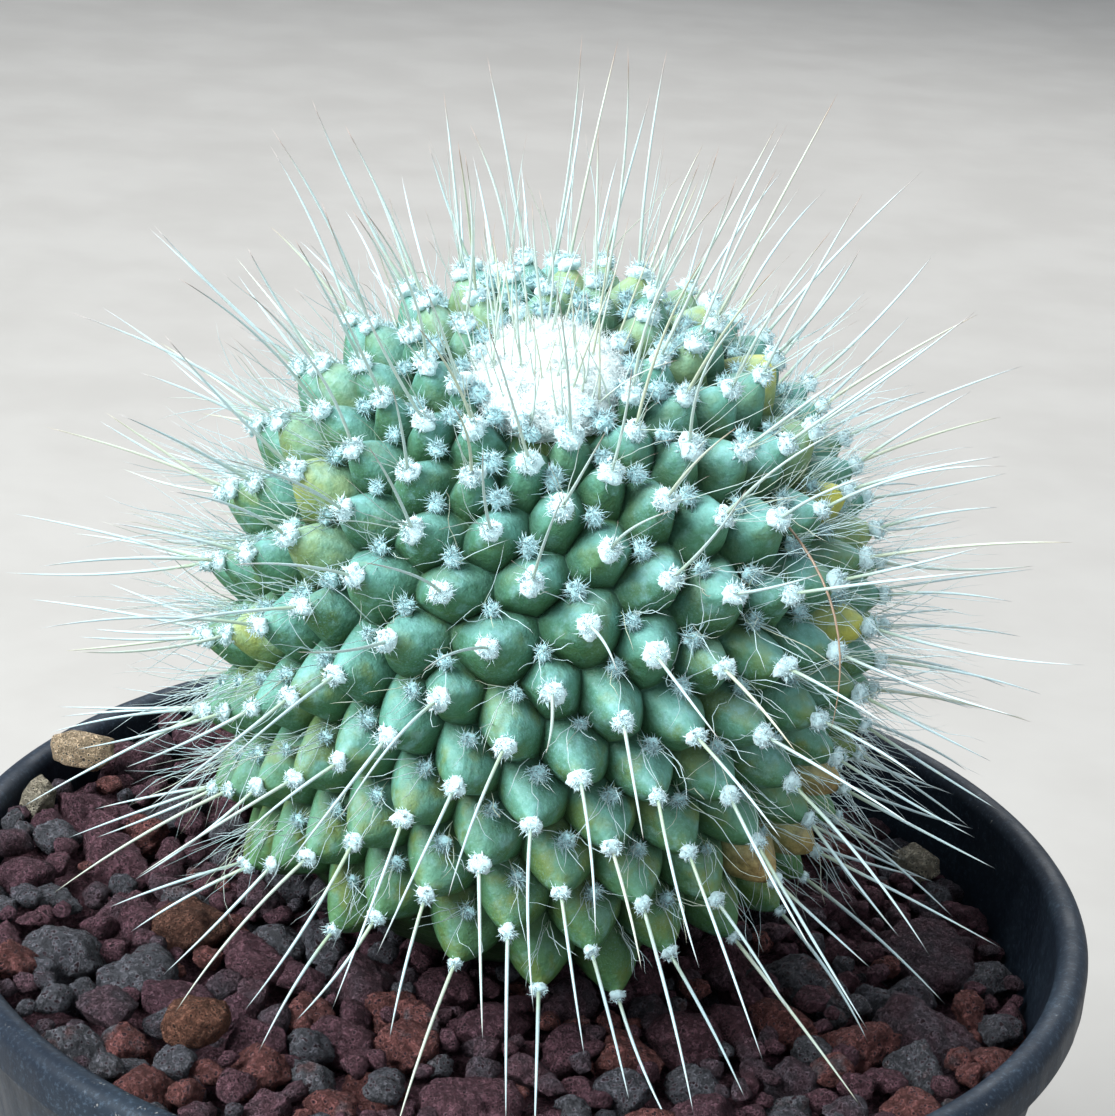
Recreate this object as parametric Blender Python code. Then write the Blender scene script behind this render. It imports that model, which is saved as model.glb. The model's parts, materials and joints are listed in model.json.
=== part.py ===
"""A globular spiny cactus in a round nursery pot filled with lava gravel.

Units are metres, +Z is up and the origin is the centre of the pot's base. The front is -Y.
"""

import math
import random

import bmesh
import bpy
import numpy as np
from mathutils import Matrix, Vector
from mathutils.bvhtree import BVHTree
from mathutils.geometry import delaunay_2d_cdt

# Clearance kept between two touching pieces
GAP = 0.0003

# Pot
POT_HEIGHT = 0.085
RIM_RADIUS = 0.055
RIM_WIDTH = 0.003
RIM_DEPTH = 0.0045
BASE_RADIUS = 0.039
WALL = 0.0012
FLOOR = 0.0015
POT_SIDES = 64
RIM_ARC_STEPS = 5
DRAIN_SLOTS = 8
DRAIN_SHARE = 3 / 8
DRAIN_INNER = 0.0235
DRAIN_OUTER = 0.0300

# Gravel bed: its top falls from the left of the pot to the right
BED_TOP = POT_HEIGHT - 0.0062
BED_FALL = 0.085
CREVICE_DEPTH = 0.0022
STONE_SEED = 11
STONE_TRIES = 12000
STONE_RADII = (0.0037, 0.0029, 0.0023)
STONE_SHARES = (0.25, 0.6, 1.0)
STONE_RISE = (0.0006, 0.0022)
MOUND_RISE = 0.0014
MOUND_REACH = 0.0062
UNDER_STEM_REACH = 0.0105
STEM_HEADROOM = 0.0006
STONE_SHOULDER = 0.62
STONE_CROWN_RISE = 0.0005
STONE_LEAN = 0.12
HOLE_SIDES = 24
HOLE_RADIUS = 0.0100

# Stem: an egg-shaped body that leans a little, fuller below, with a dip round its crown
STEM_CENTRE = Vector((0.0010, 0.0, 0.1115))
STEM_AXIS = Vector((0.09, -0.14, 1.0)).normalized()
STEM_RADIUS = 0.0315
STEM_RISE = 0.0332
STEM_DROP = 0.036
RISE_POWER = 2.0
DROP_POWER = 2.8
CROWN_LEAN = math.radians(25.5)
CROWN_SWAY = -0.025
DIP_DEPTH = 0.0016
DIP_SPREAD = math.radians(24.0)
FOOT_CENTRE = (STEM_CENTRE - STEM_AXIS * STEM_DROP).xy
FOOT_RINGS = ((0.0103, 0.0305, 12), (0.0090, 0.0345, 12), (0.0055, 0.0408, 6))
FOOT_DEPTH = 0.0425
FOOT_REACH = math.radians(23.5)
TIP_CLEARANCE = 0.0050

# Tubercles on a clockwise golden-angle spiral, crowded round the crown
SPIRAL_STEP = -math.pi * (3.0 - math.sqrt(5.0))
SPIRAL_START = math.radians(102.0)
TUBERCLE_AREA = 40e-6
CROWDING = 0.75
CROWDING_SPREAD = math.radians(30.0)
TUBERCLE_HEIGHT = 0.0048
TUBERCLE_SHOULDER = (0.58, 0.78)
SHOULDER_LEVELLING = 0.8
LOW_TUBERCLES = 0.4
AREOLE_RADII = (0.0012, 0.0007)
OLD_AREOLES = math.radians(120.0)
TUFT_HEIGHT = 0.0007
CROWN_RING = math.radians(11.5)
CROWN_SIDES = 16
CROWN_SINK = 0.0022
FIRST_TUBERCLE = math.radians(14.0)

# Central spines, one on each areole
SPINE_SEED = 5
SPINE_ROOT = 0.00029
SPINE_MIDDLE = 0.00021
SPINE_LENGTH = 0.0150
CROWN_SPINE_EXTRA = 0.0055
SPINE_SPREAD = 0.28
SPINE_BENDS = (math.radians(-8.0), math.radians(16.0))
SPINE_STRAY = 0.2
SPINE_CLEARANCE = 0.0009
SPINE_SAMPLES = 26
ROOT_SAMPLES = 4
LEAN_NEAR_CROWN = math.radians(-10.0)
LEAN_GAIN = math.radians(44.0)
LEAN_FROM = math.radians(40.0)
LEAN_OVER = math.radians(50.0)
LEAN_AT_BACK = 0.35
TURN_STEP = math.radians(7.0)
SHORTER = (1.0, 0.8, 0.6, 0.4)

# Crown wool
WOOL_RINGS = ((1.05, 0.0011), (0.93, 0.0019), (0.6, 0.0023), (0.25, 0.0024))
WOOL_SHARE = 0.95
WOOL_BUMP = 0.00035
WOOL_SEED = 3

# Loose pebbles: x, y, half sizes, turn about Z in degrees
PEBBLES = {
    "pebble_tan_long": (-0.0457, 0.0174, (0.0040, 0.0023, 0.0021), -12.0),
    "pebble_tan_oval": (-0.0486, 0.0094, (0.0019, 0.0030, 0.0024), 10.0),
    "pebble_tan_right": (0.0422, 0.0215, (0.0024, 0.0032, 0.0019), 25.0),
    "pebble_orange_left": (-0.0300, -0.0118, (0.0038, 0.0031, 0.0026), 15.0),
    "pebble_orange_front": (-0.0264, -0.0300, (0.0032, 0.0028, 0.0022), 40.0),
}
PEBBLE_NOISE = 0.16
PEBBLE_STEP = 0.0001
PEBBLE_SEAT = 0.0020

COLOURS = {
    "pot": (0.012, 0.014, 0.018, 0.45),
    "lava_gravel": (0.085, 0.032, 0.030, 0.95),
    "cactus": (0.060, 0.120, 0.065, 0.55),
    "crown_wool": (0.85, 0.90, 0.90, 0.95),
    "pebble_tan": (0.42, 0.29, 0.15, 0.9),
    "pebble_orange": (0.25, 0.085, 0.03, 0.9),
}


class MeshDraft:
    """Points and faces of one solid, gathered before they become a mesh."""

    def __init__(self):
        self.points = []
        self.faces = []

    def add(self, point):
        """Adds a point and returns its number."""
        self.points.append(Vector(point))
        return len(self.points) - 1

    def stitch(self, outer, inner):
        """Joins two rings of (angle, number) pairs, both counted counter-clockwise."""
        first = inner[0][0]
        start = min(range(len(outer)), key=lambda k: abs(wrapped(outer[k][0] - first)))
        outer = outer[start:] + outer[:start]
        base = first + wrapped(outer[0][0] - first)
        outer_turn = [base + (angle - outer[0][0]) % math.tau for angle, _ in outer]
        inner_turn = [first + (angle - first) % math.tau for angle, _ in inner]
        outer_turn.append(base + math.tau)
        inner_turn.append(first + math.tau)
        i = j = 0
        while i < len(outer) or j < len(inner):
            outer_now = outer[i % len(outer)][1]
            inner_now = inner[j % len(inner)][1]
            step_outer = j == len(inner) or (i < len(outer) and outer_turn[i + 1] <= inner_turn[j + 1])
            if step_outer:
                i += 1
                self.faces.append((outer_now, outer[i % len(outer)][1], inner_now))
            else:
                j += 1
                self.faces.append((outer_now, inner[j % len(inner)][1], inner_now))

    def take(self, other):
        """Adds the points and faces of another draft."""
        first = len(self.points)
        self.points += other.points
        self.faces += [tuple(first + number for number in face) for face in other.faces]

    def tree(self):
        """A search tree of the faces so far."""
        return BVHTree.FromPolygons(self.points, self.faces)

    def to_object(self, name, material_name):
        """Makes the object with its material and outward normals."""
        mesh = bpy.data.meshes.new(name)
        mesh.from_pydata(self.points, [], self.faces)
        bm = bmesh.new()
        bm.from_mesh(mesh)
        bmesh.ops.recalc_face_normals(bm, faces=bm.faces)
        bmesh.ops.triangulate(bm, faces=bm.faces)
        bm.to_mesh(mesh)
        bm.free()
        obj = bpy.data.objects.new(name, mesh)
        bpy.context.scene.collection.objects.link(obj)
        mesh.materials.append(make_material(material_name))
        return obj


def wrapped(angle):
    """The same angle between -pi and pi."""
    return (angle + math.pi) % math.tau - math.pi


def make_material(name):
    """A plain material in the piece's colour and roughness."""
    material = bpy.data.materials.get(name)
    if material is None:
        red, green, blue, roughness = COLOURS[name]
        material = bpy.data.materials.new(name)
        material.use_nodes = True
        shader = material.node_tree.nodes["Principled BSDF"]
        shader.inputs["Base Color"].default_value = (red, green, blue, 1.0)
        shader.inputs["Roughness"].default_value = roughness
        shader.inputs["Metallic"].default_value = 0.0
    return material


def turned_points(radius, height, sides, centre=(0.0, 0.0)):
    """One ring of points round a vertical axis."""
    angles = [math.tau * k / sides for k in range(sides)]
    return [
        Vector((centre[0] + radius * math.cos(a), centre[1] + radius * math.sin(a), height))
        for a in angles
    ]


# Cells: a triangulation of sites becomes polygons round the raised sites

def split_cells(draft, triangles, raised, site_point, corner_point):
    """Adds the flat ground between sites and returns each raised site's polygon of corners."""
    plain = {site: draft.add(site_point(site)) for t in triangles for site in t if site not in raised}
    mixed = [any(site in raised for site in t) for t in triangles]
    corner = {k: draft.add(corner_point(t)) for k, t in enumerate(triangles) if mixed[k]}
    owner = {}
    for k, (a, b, c) in enumerate(triangles):
        owner[(a, b)] = owner[(b, c)] = owner[(c, a)] = k
    for (a, b), k in owner.items():
        if not mixed[k]:
            continue
        if a in plain and b in plain:
            draft.faces.append((plain[a], plain[b], corner[k]))
        elif a in plain:
            draft.faces.append((plain[a], corner[owner[(b, a)]], corner[k]))
    for k, t in enumerate(triangles):
        if not mixed[k]:
            draft.faces.append(tuple(plain[site] for site in t))
    polygons = {}
    for (a, _), k in owner.items():
        if a in raised and a not in polygons:
            polygons[a] = cell_polygon(a, k, triangles, owner, corner)
    return plain, polygons


def cell_polygon(site, start, triangles, owner, corner):
    """The corners round one site, counter-clockwise."""
    polygon = []
    k = start
    while True:
        polygon.append(corner[k])
        t = triangles[k]
        k = owner[(site, t[t.index(site) - 1])]
        if k == start:
            return polygon


# Pot

def inner_radius(height):
    """The radius of the pot's inside wall at a height."""
    share = min(1.0, (height - FLOOR) / (POT_HEIGHT - RIM_DEPTH - FLOOR))
    floor_radius = BASE_RADIUS - WALL
    return floor_radius + share * (RIM_RADIUS - RIM_WIDTH - floor_radius)


def pot_profile():
    """The pot's section from the base's centre, up the outside, over the rim and down the inside."""
    neck = inner_radius(POT_HEIGHT) + WALL
    band = POT_HEIGHT - RIM_DEPTH
    half_width = RIM_WIDTH / 2
    arc = [math.pi * k / RIM_ARC_STEPS for k in range(RIM_ARC_STEPS + 1)]
    rim_middle = (RIM_RADIUS - half_width, POT_HEIGHT - half_width)
    rim = [
        (rim_middle[0] + half_width * math.cos(a), rim_middle[1] + half_width * math.sin(a))
        for a in arc
    ]
    foot_bevel = WALL / 2
    return [
        (0.0, 0.0),
        (DRAIN_INNER, 0.0),
        (DRAIN_OUTER, 0.0),
        (BASE_RADIUS - foot_bevel, 0.0),
        (BASE_RADIUS, foot_bevel),
        (neck, band),
        (RIM_RADIUS - foot_bevel, band),
        (RIM_RADIUS, band + foot_bevel),
        *rim,
        (inner_radius(band), band),
        (inner_radius(FLOOR), FLOOR),
        (DRAIN_OUTER, FLOOR),
        (DRAIN_INNER, FLOOR),
        (0.0, FLOOR),
    ]


def is_slot(segment):
    """Whether a segment of the floor's slotted band is open."""
    period = POT_SIDES // DRAIN_SLOTS
    return segment % period < period * DRAIN_SHARE


def build_pot():
    """Turns the pot, with a ring of drain slots left open in its floor, and returns its draft."""
    draft = MeshDraft()
    profile = pot_profile()
    bottom = draft.add((0.0, 0.0, profile[0][1]))
    rings = []
    for radius, height in profile[1:-1]:
        rings.append([draft.add(p) for p in turned_points(radius, height, POT_SIDES)])
    top = draft.add((0.0, 0.0, profile[-1][1]))
    slotted = (0, len(rings) - 2)
    under_inner, under_outer, floor_outer, floor_inner = rings[0], rings[1], rings[-2], rings[-1]
    for k in range(POT_SIDES):
        n = (k + 1) % POT_SIDES
        draft.faces.append((bottom, under_inner[n], under_inner[k]))
        draft.faces.append((floor_inner[k], floor_inner[n], top))
        for level, (low, high) in enumerate(zip(rings, rings[1:])):
            if not (level in slotted and is_slot(k)):
                draft.faces.append((low[k], low[n], high[n], high[k]))
        if is_slot(k):
            draft.faces.append((under_inner[k], under_inner[n], floor_inner[n], floor_inner[k]))
            draft.faces.append((under_outer[k], floor_outer[k], floor_outer[n], under_outer[n]))
        if is_slot(k) != is_slot(n):
            draft.faces.append((under_inner[n], under_outer[n], floor_outer[n], floor_inner[n]))
    pot = draft.to_object("pot", "pot")
    pot.data.shade_smooth()
    pot.data.set_sharp_from_angle(angle=math.radians(40.0))
    return draft


# Gravel bed

def bed_level(x):
    """The bed's mean height, which falls towards +X."""
    return BED_TOP - BED_FALL * x


def scatter_stones(rng):
    """Stone centres and radii, thrown until no more fit, large ones first."""
    stones = []
    seats = [(x, y, max(half[0], half[1])) for x, y, half, _ in PEBBLES.values()]
    for attempt in range(STONE_TRIES):
        share = attempt / STONE_TRIES
        radius = next(r for r, s in zip(STONE_RADII, STONE_SHARES) if share <= s)
        reach = inner_radius(BED_TOP) - radius
        distance = reach * math.sqrt(rng.random())
        angle = math.tau * rng.random()
        x = distance * math.cos(angle)
        y = distance * math.sin(angle)
        if math.hypot(x - FOOT_CENTRE.x, y - FOOT_CENTRE.y) < HOLE_RADIUS + radius:
            continue
        taken = stones + [(sx, sy, sr * 0.6) for sx, sy, sr in seats]
        if all(math.hypot(x - sx, y - sy) > radius + sr for sx, sy, sr in taken):
            stones.append((x, y, radius))
    return stones


def bed_triangles(places, hole_sites):
    """The flat triangulation of the bed's sites, without the stem's hole."""
    result = delaunay_2d_cdt([Vector(p) for p in places], [], [], 0, 1e-9)
    triangles = []
    for a, b, c in result[2]:
        turn = (Vector(places[b]) - Vector(places[a])).cross(Vector(places[c]) - Vector(places[a]))
        if not {a, b, c} <= hole_sites:
            triangles.append((a, b, c) if turn > 0 else (a, c, b))
    return triangles


def build_gravel(stem_tree):
    """Makes the bed with its stones raised and the stem's hole sunk, and returns its draft."""
    rng = random.Random(STONE_SEED)
    edge = [p.xy for p in turned_points(1.0, 0.0, POT_SIDES)]
    edge = [p * (inner_radius(bed_level(p.x * RIM_RADIUS) - CREVICE_DEPTH / 2) - GAP) for p in edge]
    hole = [p.xy for p in turned_points(HOLE_RADIUS, 0.0, HOLE_SIDES, FOOT_CENTRE)]
    seats = [Vector((x, y)) for x, y, _, _ in PEBBLES.values()]
    stones = scatter_stones(rng)
    places = edge + hole + seats + [Vector((x, y)) for x, y, _ in stones]
    hole_sites = set(range(len(edge), len(edge) + len(hole)))
    first_stone = len(places) - len(stones)
    raised = set(range(first_stone, len(places)))
    triangles = bed_triangles(places, hole_sites)

    def site_point(site):
        place = places[site]
        sink = PEBBLE_SEAT if site >= len(edge) + len(hole) else CREVICE_DEPTH / 2
        return (place.x, place.y, bed_level(place.x) - sink)

    def corner_point(t):
        middle = sum((places[site] for site in t), Vector((0.0, 0.0))) / 3
        depth = CREVICE_DEPTH * rng.uniform(0.7, 1.0)
        return (middle.x, middle.y, bed_level(middle.x) - depth)

    draft = MeshDraft()
    plain, polygons = split_cells(draft, triangles, raised, site_point, corner_point)
    for site in sorted(polygons):
        raise_stone(draft, polygons[site], places[site], stem_tree, rng)

    foot = FLOOR + GAP
    foot_radius = inner_radius(foot) - GAP
    outer_top = [plain[k] for k in range(len(edge))]
    outer_foot = [draft.add(p) for p in turned_points(foot_radius, foot, POT_SIDES)]
    inner_top = [plain[k] for k in sorted(hole_sites)]
    hole_floor = STEM_CENTRE.z - FOOT_DEPTH - GAP
    inner_foot = [draft.add(p) for p in turned_points(HOLE_RADIUS, hole_floor, HOLE_SIDES, FOOT_CENTRE)]
    for top, low in ((outer_top, outer_foot), (inner_foot, inner_top)):
        for k in range(len(top)):
            n = (k + 1) % len(top)
            draft.faces.append((low[k], low[n], top[n], top[k]))
    draft.faces.append(tuple(reversed(outer_foot)))
    draft.faces.append(tuple(inner_foot))
    draft.to_object("lava_gravel", "lava_gravel")
    return draft


def headroom(place, stem_tree):
    """The greatest height at a place that keeps clear of the stem above it."""
    below = Vector((place.x, place.y, bed_level(place.x) - CREVICE_DEPTH))
    hit = stem_tree.ray_cast(below, Vector((0.0, 0.0, 1.0)))[0]
    return math.inf if hit is None else hit.z - STEM_HEADROOM


def raise_stone(draft, polygon, place, stem_tree, rng):
    """Raises one stone with a shoulder ring and a blunt top from its polygon of crevices."""
    from_foot = (place - FOOT_CENTRE).length - HOLE_RADIUS
    rise = rng.uniform(*STONE_RISE)
    if from_foot < MOUND_REACH:
        rise = STONE_RISE[0] + MOUND_RISE
    elif from_foot < UNDER_STEM_REACH:
        rise = STONE_RISE[0]
    lean = Vector((rng.uniform(-STONE_LEAN, STONE_LEAN), rng.uniform(-STONE_LEAN, STONE_LEAN)))
    ring = []
    for number in polygon:
        corner = draft.points[number]
        offset = corner.xy - place
        spot = place + offset * STONE_SHOULDER * rng.uniform(1.0 - STONE_LEAN, 1.0 + STONE_LEAN)
        height = bed_level(place.x) + rise + lean.dot(spot - place)
        ring.append(draft.add((spot.x, spot.y, min(height, headroom(spot, stem_tree)))))
    height = bed_level(place.x) + rise + STONE_CROWN_RISE
    top = draft.add((place.x, place.y, min(height, headroom(place, stem_tree))))
    for k in range(len(polygon)):
        n = (k + 1) % len(polygon)
        draft.faces.append((polygon[k], polygon[n], ring[n], ring[k]))
        draft.faces.append((ring[k], ring[n], top))


# Pebbles

def build_pebble(name, ground, rng):
    """Makes one loose pebble, lowers it until it nearly touches the ground and adds it to that draft."""
    ground_tree = ground.tree()
    x, y, half, turn = PEBBLES[name]
    bm = bmesh.new()
    bmesh.ops.create_icosphere(bm, subdivisions=2, radius=1.0)
    spin = Matrix.Rotation(math.radians(turn), 3, "Z")
    for vert in bm.verts:
        wobble = 1.0 + PEBBLE_NOISE * rng.uniform(-1.0, 0.4)
        vert.co = spin @ (vert.co * Vector(half)) * wobble
    mesh = bpy.data.meshes.new(name)
    bm.to_mesh(mesh)
    height = bed_level(x) + half[2] + 0.004
    while not touches(bm, Vector((x, y, height - PEBBLE_STEP)), ground_tree):
        height -= PEBBLE_STEP
    placed = MeshDraft()
    placed.points = [vert.co + Vector((x, y, height)) for vert in bm.verts]
    placed.faces = [tuple(vert.index for vert in face.verts) for face in bm.faces]
    ground.take(placed)
    bm.free()
    pebble = bpy.data.objects.new(name, mesh)
    pebble.location = (x, y, height)
    bpy.context.scene.collection.objects.link(pebble)
    mesh.materials.append(make_material(name.rsplit("_", 1)[0]))
    return pebble


def touches(bm, place, tree):
    """Whether the pebble at this place comes within the gap of the tree's surface."""
    moved = bm.copy()
    bmesh.ops.translate(moved, verts=moved.verts, vec=place)
    near = any(tree.find_nearest(v.co)[3] < GAP for v in moved.verts)
    crossed = bool(BVHTree.FromBMesh(moved).overlap(tree))
    moved.free()
    return near or crossed


# Stem

def crown_axis():
    """The unit vector from the stem's centre to its crown."""
    return Vector((CROWN_SWAY, -math.sin(CROWN_LEAN), math.cos(CROWN_LEAN))).normalized()


def tip_distance(direction):
    """How far the tubercle tips lie from the stem's centre in a unit direction."""
    along = direction.dot(STEM_AXIS)
    across = math.sqrt(max(0.0, 1.0 - along**2))
    half_height, power = (STEM_RISE, RISE_POWER) if along > 0 else (STEM_DROP, DROP_POWER)
    span = (across / STEM_RADIUS) ** power + (abs(along) / half_height) ** power
    polar = crown_axis().angle(direction)
    dip = DIP_DEPTH * math.exp(-((polar / DIP_SPREAD) ** 2))
    return span ** (-1.0 / power) - dip


def surface_point(direction, sink=0.0):
    """The point under the tubercle tips by a depth, in a unit direction."""
    return STEM_CENTRE + direction * (tip_distance(direction) - sink)


def surface_normal(direction):
    """The outward normal of the egg shape in a unit direction."""
    along = direction.dot(STEM_AXIS)
    side = direction - STEM_AXIS * along
    half_height, power = (STEM_RISE, RISE_POWER) if along > 0 else (STEM_DROP, DROP_POWER)
    slope_out = side.length ** (power - 1.0) / STEM_RADIUS**power
    slope_along = math.copysign(abs(along) ** (power - 1.0) / half_height**power, along)
    return (side.normalized() * slope_out + STEM_AXIS * slope_along).normalized()


def polar_frame():
    """The crown axis and two directions across it."""
    axis = crown_axis()
    back = axis.cross(Vector((1.0, 0.0, 0.0))).normalized()
    return axis, back.cross(axis), back


def polar_direction(polar, turn):
    """The unit direction at an angle from the crown and a turn about its axis."""
    axis, right, back = polar_frame()
    across = right * math.cos(turn) + back * math.sin(turn)
    return (axis * math.cos(polar) + across * math.sin(polar)).normalized()


def spiral_sites():
    """The tubercles' directions: a golden-angle spiral with less area for each near the crown."""
    polar = np.linspace(0.0, math.pi, 2000)
    crowding = 1.0 - CROWDING * np.exp(-((polar / CROWDING_SPREAD) ** 2))
    density = math.tau * STEM_RADIUS**2 * np.sin(polar) / (TUBERCLE_AREA * crowding)
    count = np.concatenate(([0.0], np.cumsum((density[1:] + density[:-1]) / 2 * np.diff(polar))))
    sites = []
    for number in range(int(count[-1])):
        angle = float(np.interp(number + 0.5, count, polar))
        direction = polar_direction(angle, SPIRAL_START + number * SPIRAL_STEP)
        if angle > FIRST_TUBERCLE and direction.angle(-STEM_AXIS) > FOOT_REACH:
            sites.append(direction)
    return sites


def clears_bed(direction):
    """Whether a tubercle here would keep its tip above the stones."""
    tip = surface_point(direction)
    return tip.z > bed_level(tip.x) + STONE_RISE[0] + STONE_CROWN_RISE + TIP_CLEARANCE


def plain_sites():
    """Points of the crown's dish and of the stem's foot, as (direction, point) pairs."""
    sites = [(crown_axis(), surface_point(crown_axis(), CROWN_SINK))]
    for k in range(CROWN_SIDES):
        direction = polar_direction(CROWN_RING, math.tau * k / CROWN_SIDES)
        sites.append((direction, surface_point(direction, CROWN_SINK)))
    foot = [Vector((*FOOT_CENTRE, STEM_CENTRE.z - FOOT_DEPTH))]
    for radius, depth, sides in FOOT_RINGS:
        foot += turned_points(radius, STEM_CENTRE.z - depth, sides, FOOT_CENTRE)
    sites += [((point - STEM_CENTRE).normalized(), point) for point in foot]
    return sites


def sphere_triangles(directions):
    """The triangles between neighbouring directions, counter-clockwise from outside."""
    bm = bmesh.new()
    for direction in directions:
        bm.verts.new(direction)
    bm.verts.index_update()
    bmesh.ops.convex_hull(bm, input=bm.verts)
    triangles = []
    for face in bm.faces:
        a, b, c = (vert.index for vert in face.verts)
        normal = (directions[b] - directions[a]).cross(directions[c] - directions[a])
        triangles.append((a, b, c) if normal.dot(directions[a]) > 0 else (a, c, b))
    bm.free()
    return triangles


def tubercle_height(polar):
    """The tubercles' height, less round the crown."""
    return TUBERCLE_HEIGHT * (1.0 - LOW_TUBERCLES * math.exp(-((polar / CROWDING_SPREAD) ** 2)))


def areole_radius(polar):
    """The woolly areole's radius, which shrinks away from the crown."""
    young, old = AREOLE_RADII
    return young + (old - young) * min(1.0, polar / OLD_AREOLES)


def frame_across(normal):
    """Two unit vectors across a normal."""
    side = normal.cross(Vector((0.0, 0.0, 1.0)) if abs(normal.z) < 0.9 else Vector((1.0, 0.0, 0.0)))
    side.normalize()
    return side, normal.cross(side)


def ring_with_angles(draft, numbers, centre, side, up):
    """Pairs each point of a ring with its angle about the centre, in rising order."""
    pairs = []
    for number in numbers:
        offset = draft.points[number] - centre
        pairs.append((math.atan2(offset.dot(up), offset.dot(side)) % math.tau, number))
    return sorted(pairs)


def add_ring(draft, centre, side, up, radius, sides, turn=0.0):
    """Adds a round ring and returns its (angle, number) pairs."""
    pairs = []
    for k in range(sides):
        angle = (turn + math.tau * k / sides) % math.tau
        place = centre + (side * math.cos(angle) + up * math.sin(angle)) * radius
        pairs.append((angle, draft.add(place)))
    return sorted(pairs)


def raise_tubercle(draft, polygon, direction):
    """Raises one cone with a rounded shoulder and its woolly areole, and returns the spine's root."""
    polar = crown_axis().angle(direction)
    normal = surface_normal(direction)
    tip = surface_point(direction)
    side, up = frame_across(normal)
    middle = sum((draft.points[k] for k in polygon), Vector()) / len(polygon)
    height_share, width_share = TUBERCLE_SHOULDER
    axis_point = middle.lerp(tip, height_share)
    shoulder = []
    for number in polygon:
        offset = draft.points[number] - middle
        offset -= normal * offset.dot(normal) * SHOULDER_LEVELLING
        shoulder.append(draft.add(axis_point + offset * width_share))
    for k in range(len(polygon)):
        n = (k + 1) % len(polygon)
        draft.faces.append((polygon[k], polygon[n], shoulder[n], shoulder[k]))
    radius = areole_radius(polar)
    areole = add_ring(draft, tip - normal * TUFT_HEIGHT, side, up, radius, 4, math.tau / 8)
    draft.stitch(ring_with_angles(draft, shoulder, axis_point, side, up), areole)
    root = add_ring(draft, tip, side, up, SPINE_ROOT, 3)
    draft.stitch(areole, root)
    return tip, normal, polar, [number for _, number in root]


# Spines

def spine_lean(direction, polar):
    """How far a spine leans away from the crown, most on the front's lower half."""
    front = LEAN_AT_BACK + (1.0 - LEAN_AT_BACK) * max(0.0, -direction.y)
    low = min(1.0, max(0.0, (polar - LEAN_FROM) / LEAN_OVER))
    return LEAN_NEAR_CROWN + LEAN_GAIN * low * front


def spine_points(tip, normal, away, across, lean, drift, length, bend):
    """The root, middle and end of a spine."""
    start = (normal * math.cos(lean) + away * math.sin(lean) + across * math.tan(drift)).normalized()
    middle = tip + start * length * 0.5
    later = (start + away * math.tan(bend)).normalized()
    return tip, middle, middle + later * length * 0.5


def spine_samples(points):
    """Evenly spaced points along a spine."""
    root, middle, end = (np.array(p) for p in points)
    share = np.linspace(0.0, 1.0, SPINE_SAMPLES // 2)[:, None]
    return np.concatenate([root + (middle - root) * share, middle + (end - middle) * share])


def is_clear(samples, placed, stem_tree, ground_tree):
    """Whether a spine keeps clear of the others, the stem, the bed, the pebbles and the pot."""
    if placed:
        others = np.concatenate(placed)
        distance = np.linalg.norm(samples[:, None, :] - others[None, :, :], axis=2)
        if distance.min() < SPINE_CLEARANCE:
            return False
    for number, sample in enumerate(samples):
        point = Vector(sample)
        if number >= ROOT_SAMPLES and stem_tree.find_nearest(point)[3] < SPINE_ROOT + GAP:
            return False
        if ground_tree.find_nearest(point)[3] < SPINE_CLEARANCE or point.z < bed_level(point.x):
            return False
        beside_rim = point.z < POT_HEIGHT + SPINE_CLEARANCE
        if beside_rim and point.xy.length > inner_radius(point.z) - SPINE_CLEARANCE:
            return False
    return True


def spine_choices():
    """Extra lean and drift in the order they are tried, the smallest change first."""
    leans = [TURN_STEP * k for k in range(-8, 5)]
    drifts = [TURN_STEP * k for k in range(-3, 4)]
    pairs = [(lean, drift) for lean in leans for drift in drifts]
    return sorted(pairs, key=lambda pair: (abs(pair[0]) + 1.3 * abs(pair[1]), pair))


def grow_spine(draft, root, direction, stem_tree, ground_tree, placed, choices, rng):
    """Grows one three-sided, slightly bent spine from its root triangle."""
    tip, normal, polar, ring = root
    axis = crown_axis()
    away = (direction * math.cos(polar) - axis).normalized()
    away = (away - normal * away.dot(normal)).normalized()
    across = normal.cross(away)
    lean = spine_lean(direction, polar) + rng.uniform(-SPINE_STRAY, SPINE_STRAY)
    drift = rng.uniform(-SPINE_STRAY, SPINE_STRAY)
    crown_share = math.exp(-((polar / LEAN_FROM) ** 2))
    length = SPINE_LENGTH + CROWN_SPINE_EXTRA * crown_share
    length *= 1.0 + rng.uniform(-SPINE_SPREAD, SPINE_SPREAD)
    bend = rng.uniform(*SPINE_BENDS)
    for size in SHORTER:
        for more_lean, more_drift in choices:
            points = spine_points(
                tip, normal, away, across, lean + more_lean, drift + more_drift, length * size, bend * size
            )
            samples = spine_samples(points)
            if is_clear(samples, placed, stem_tree, ground_tree):
                placed.append(samples)
                add_spine_faces(draft, ring, points)
                return
    draft.faces.append(tuple(ring))


def add_spine_faces(draft, ring, points):
    """Adds the two stretches of a spine above its root triangle."""
    tip, middle, end = points
    centre = sum((draft.points[k] for k in ring), Vector()) / 3
    along = (end - tip).normalized()
    belt = []
    for number in ring:
        offset = draft.points[number] - centre
        offset -= along * offset.dot(along)
        belt.append(draft.add(middle + offset.normalized() * SPINE_MIDDLE))
    point = draft.add(end)
    for k in range(3):
        n = (k + 1) % 3
        draft.faces.append((ring[k], ring[n], belt[n], belt[k]))
        draft.faces.append((belt[k], belt[n], point))


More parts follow.
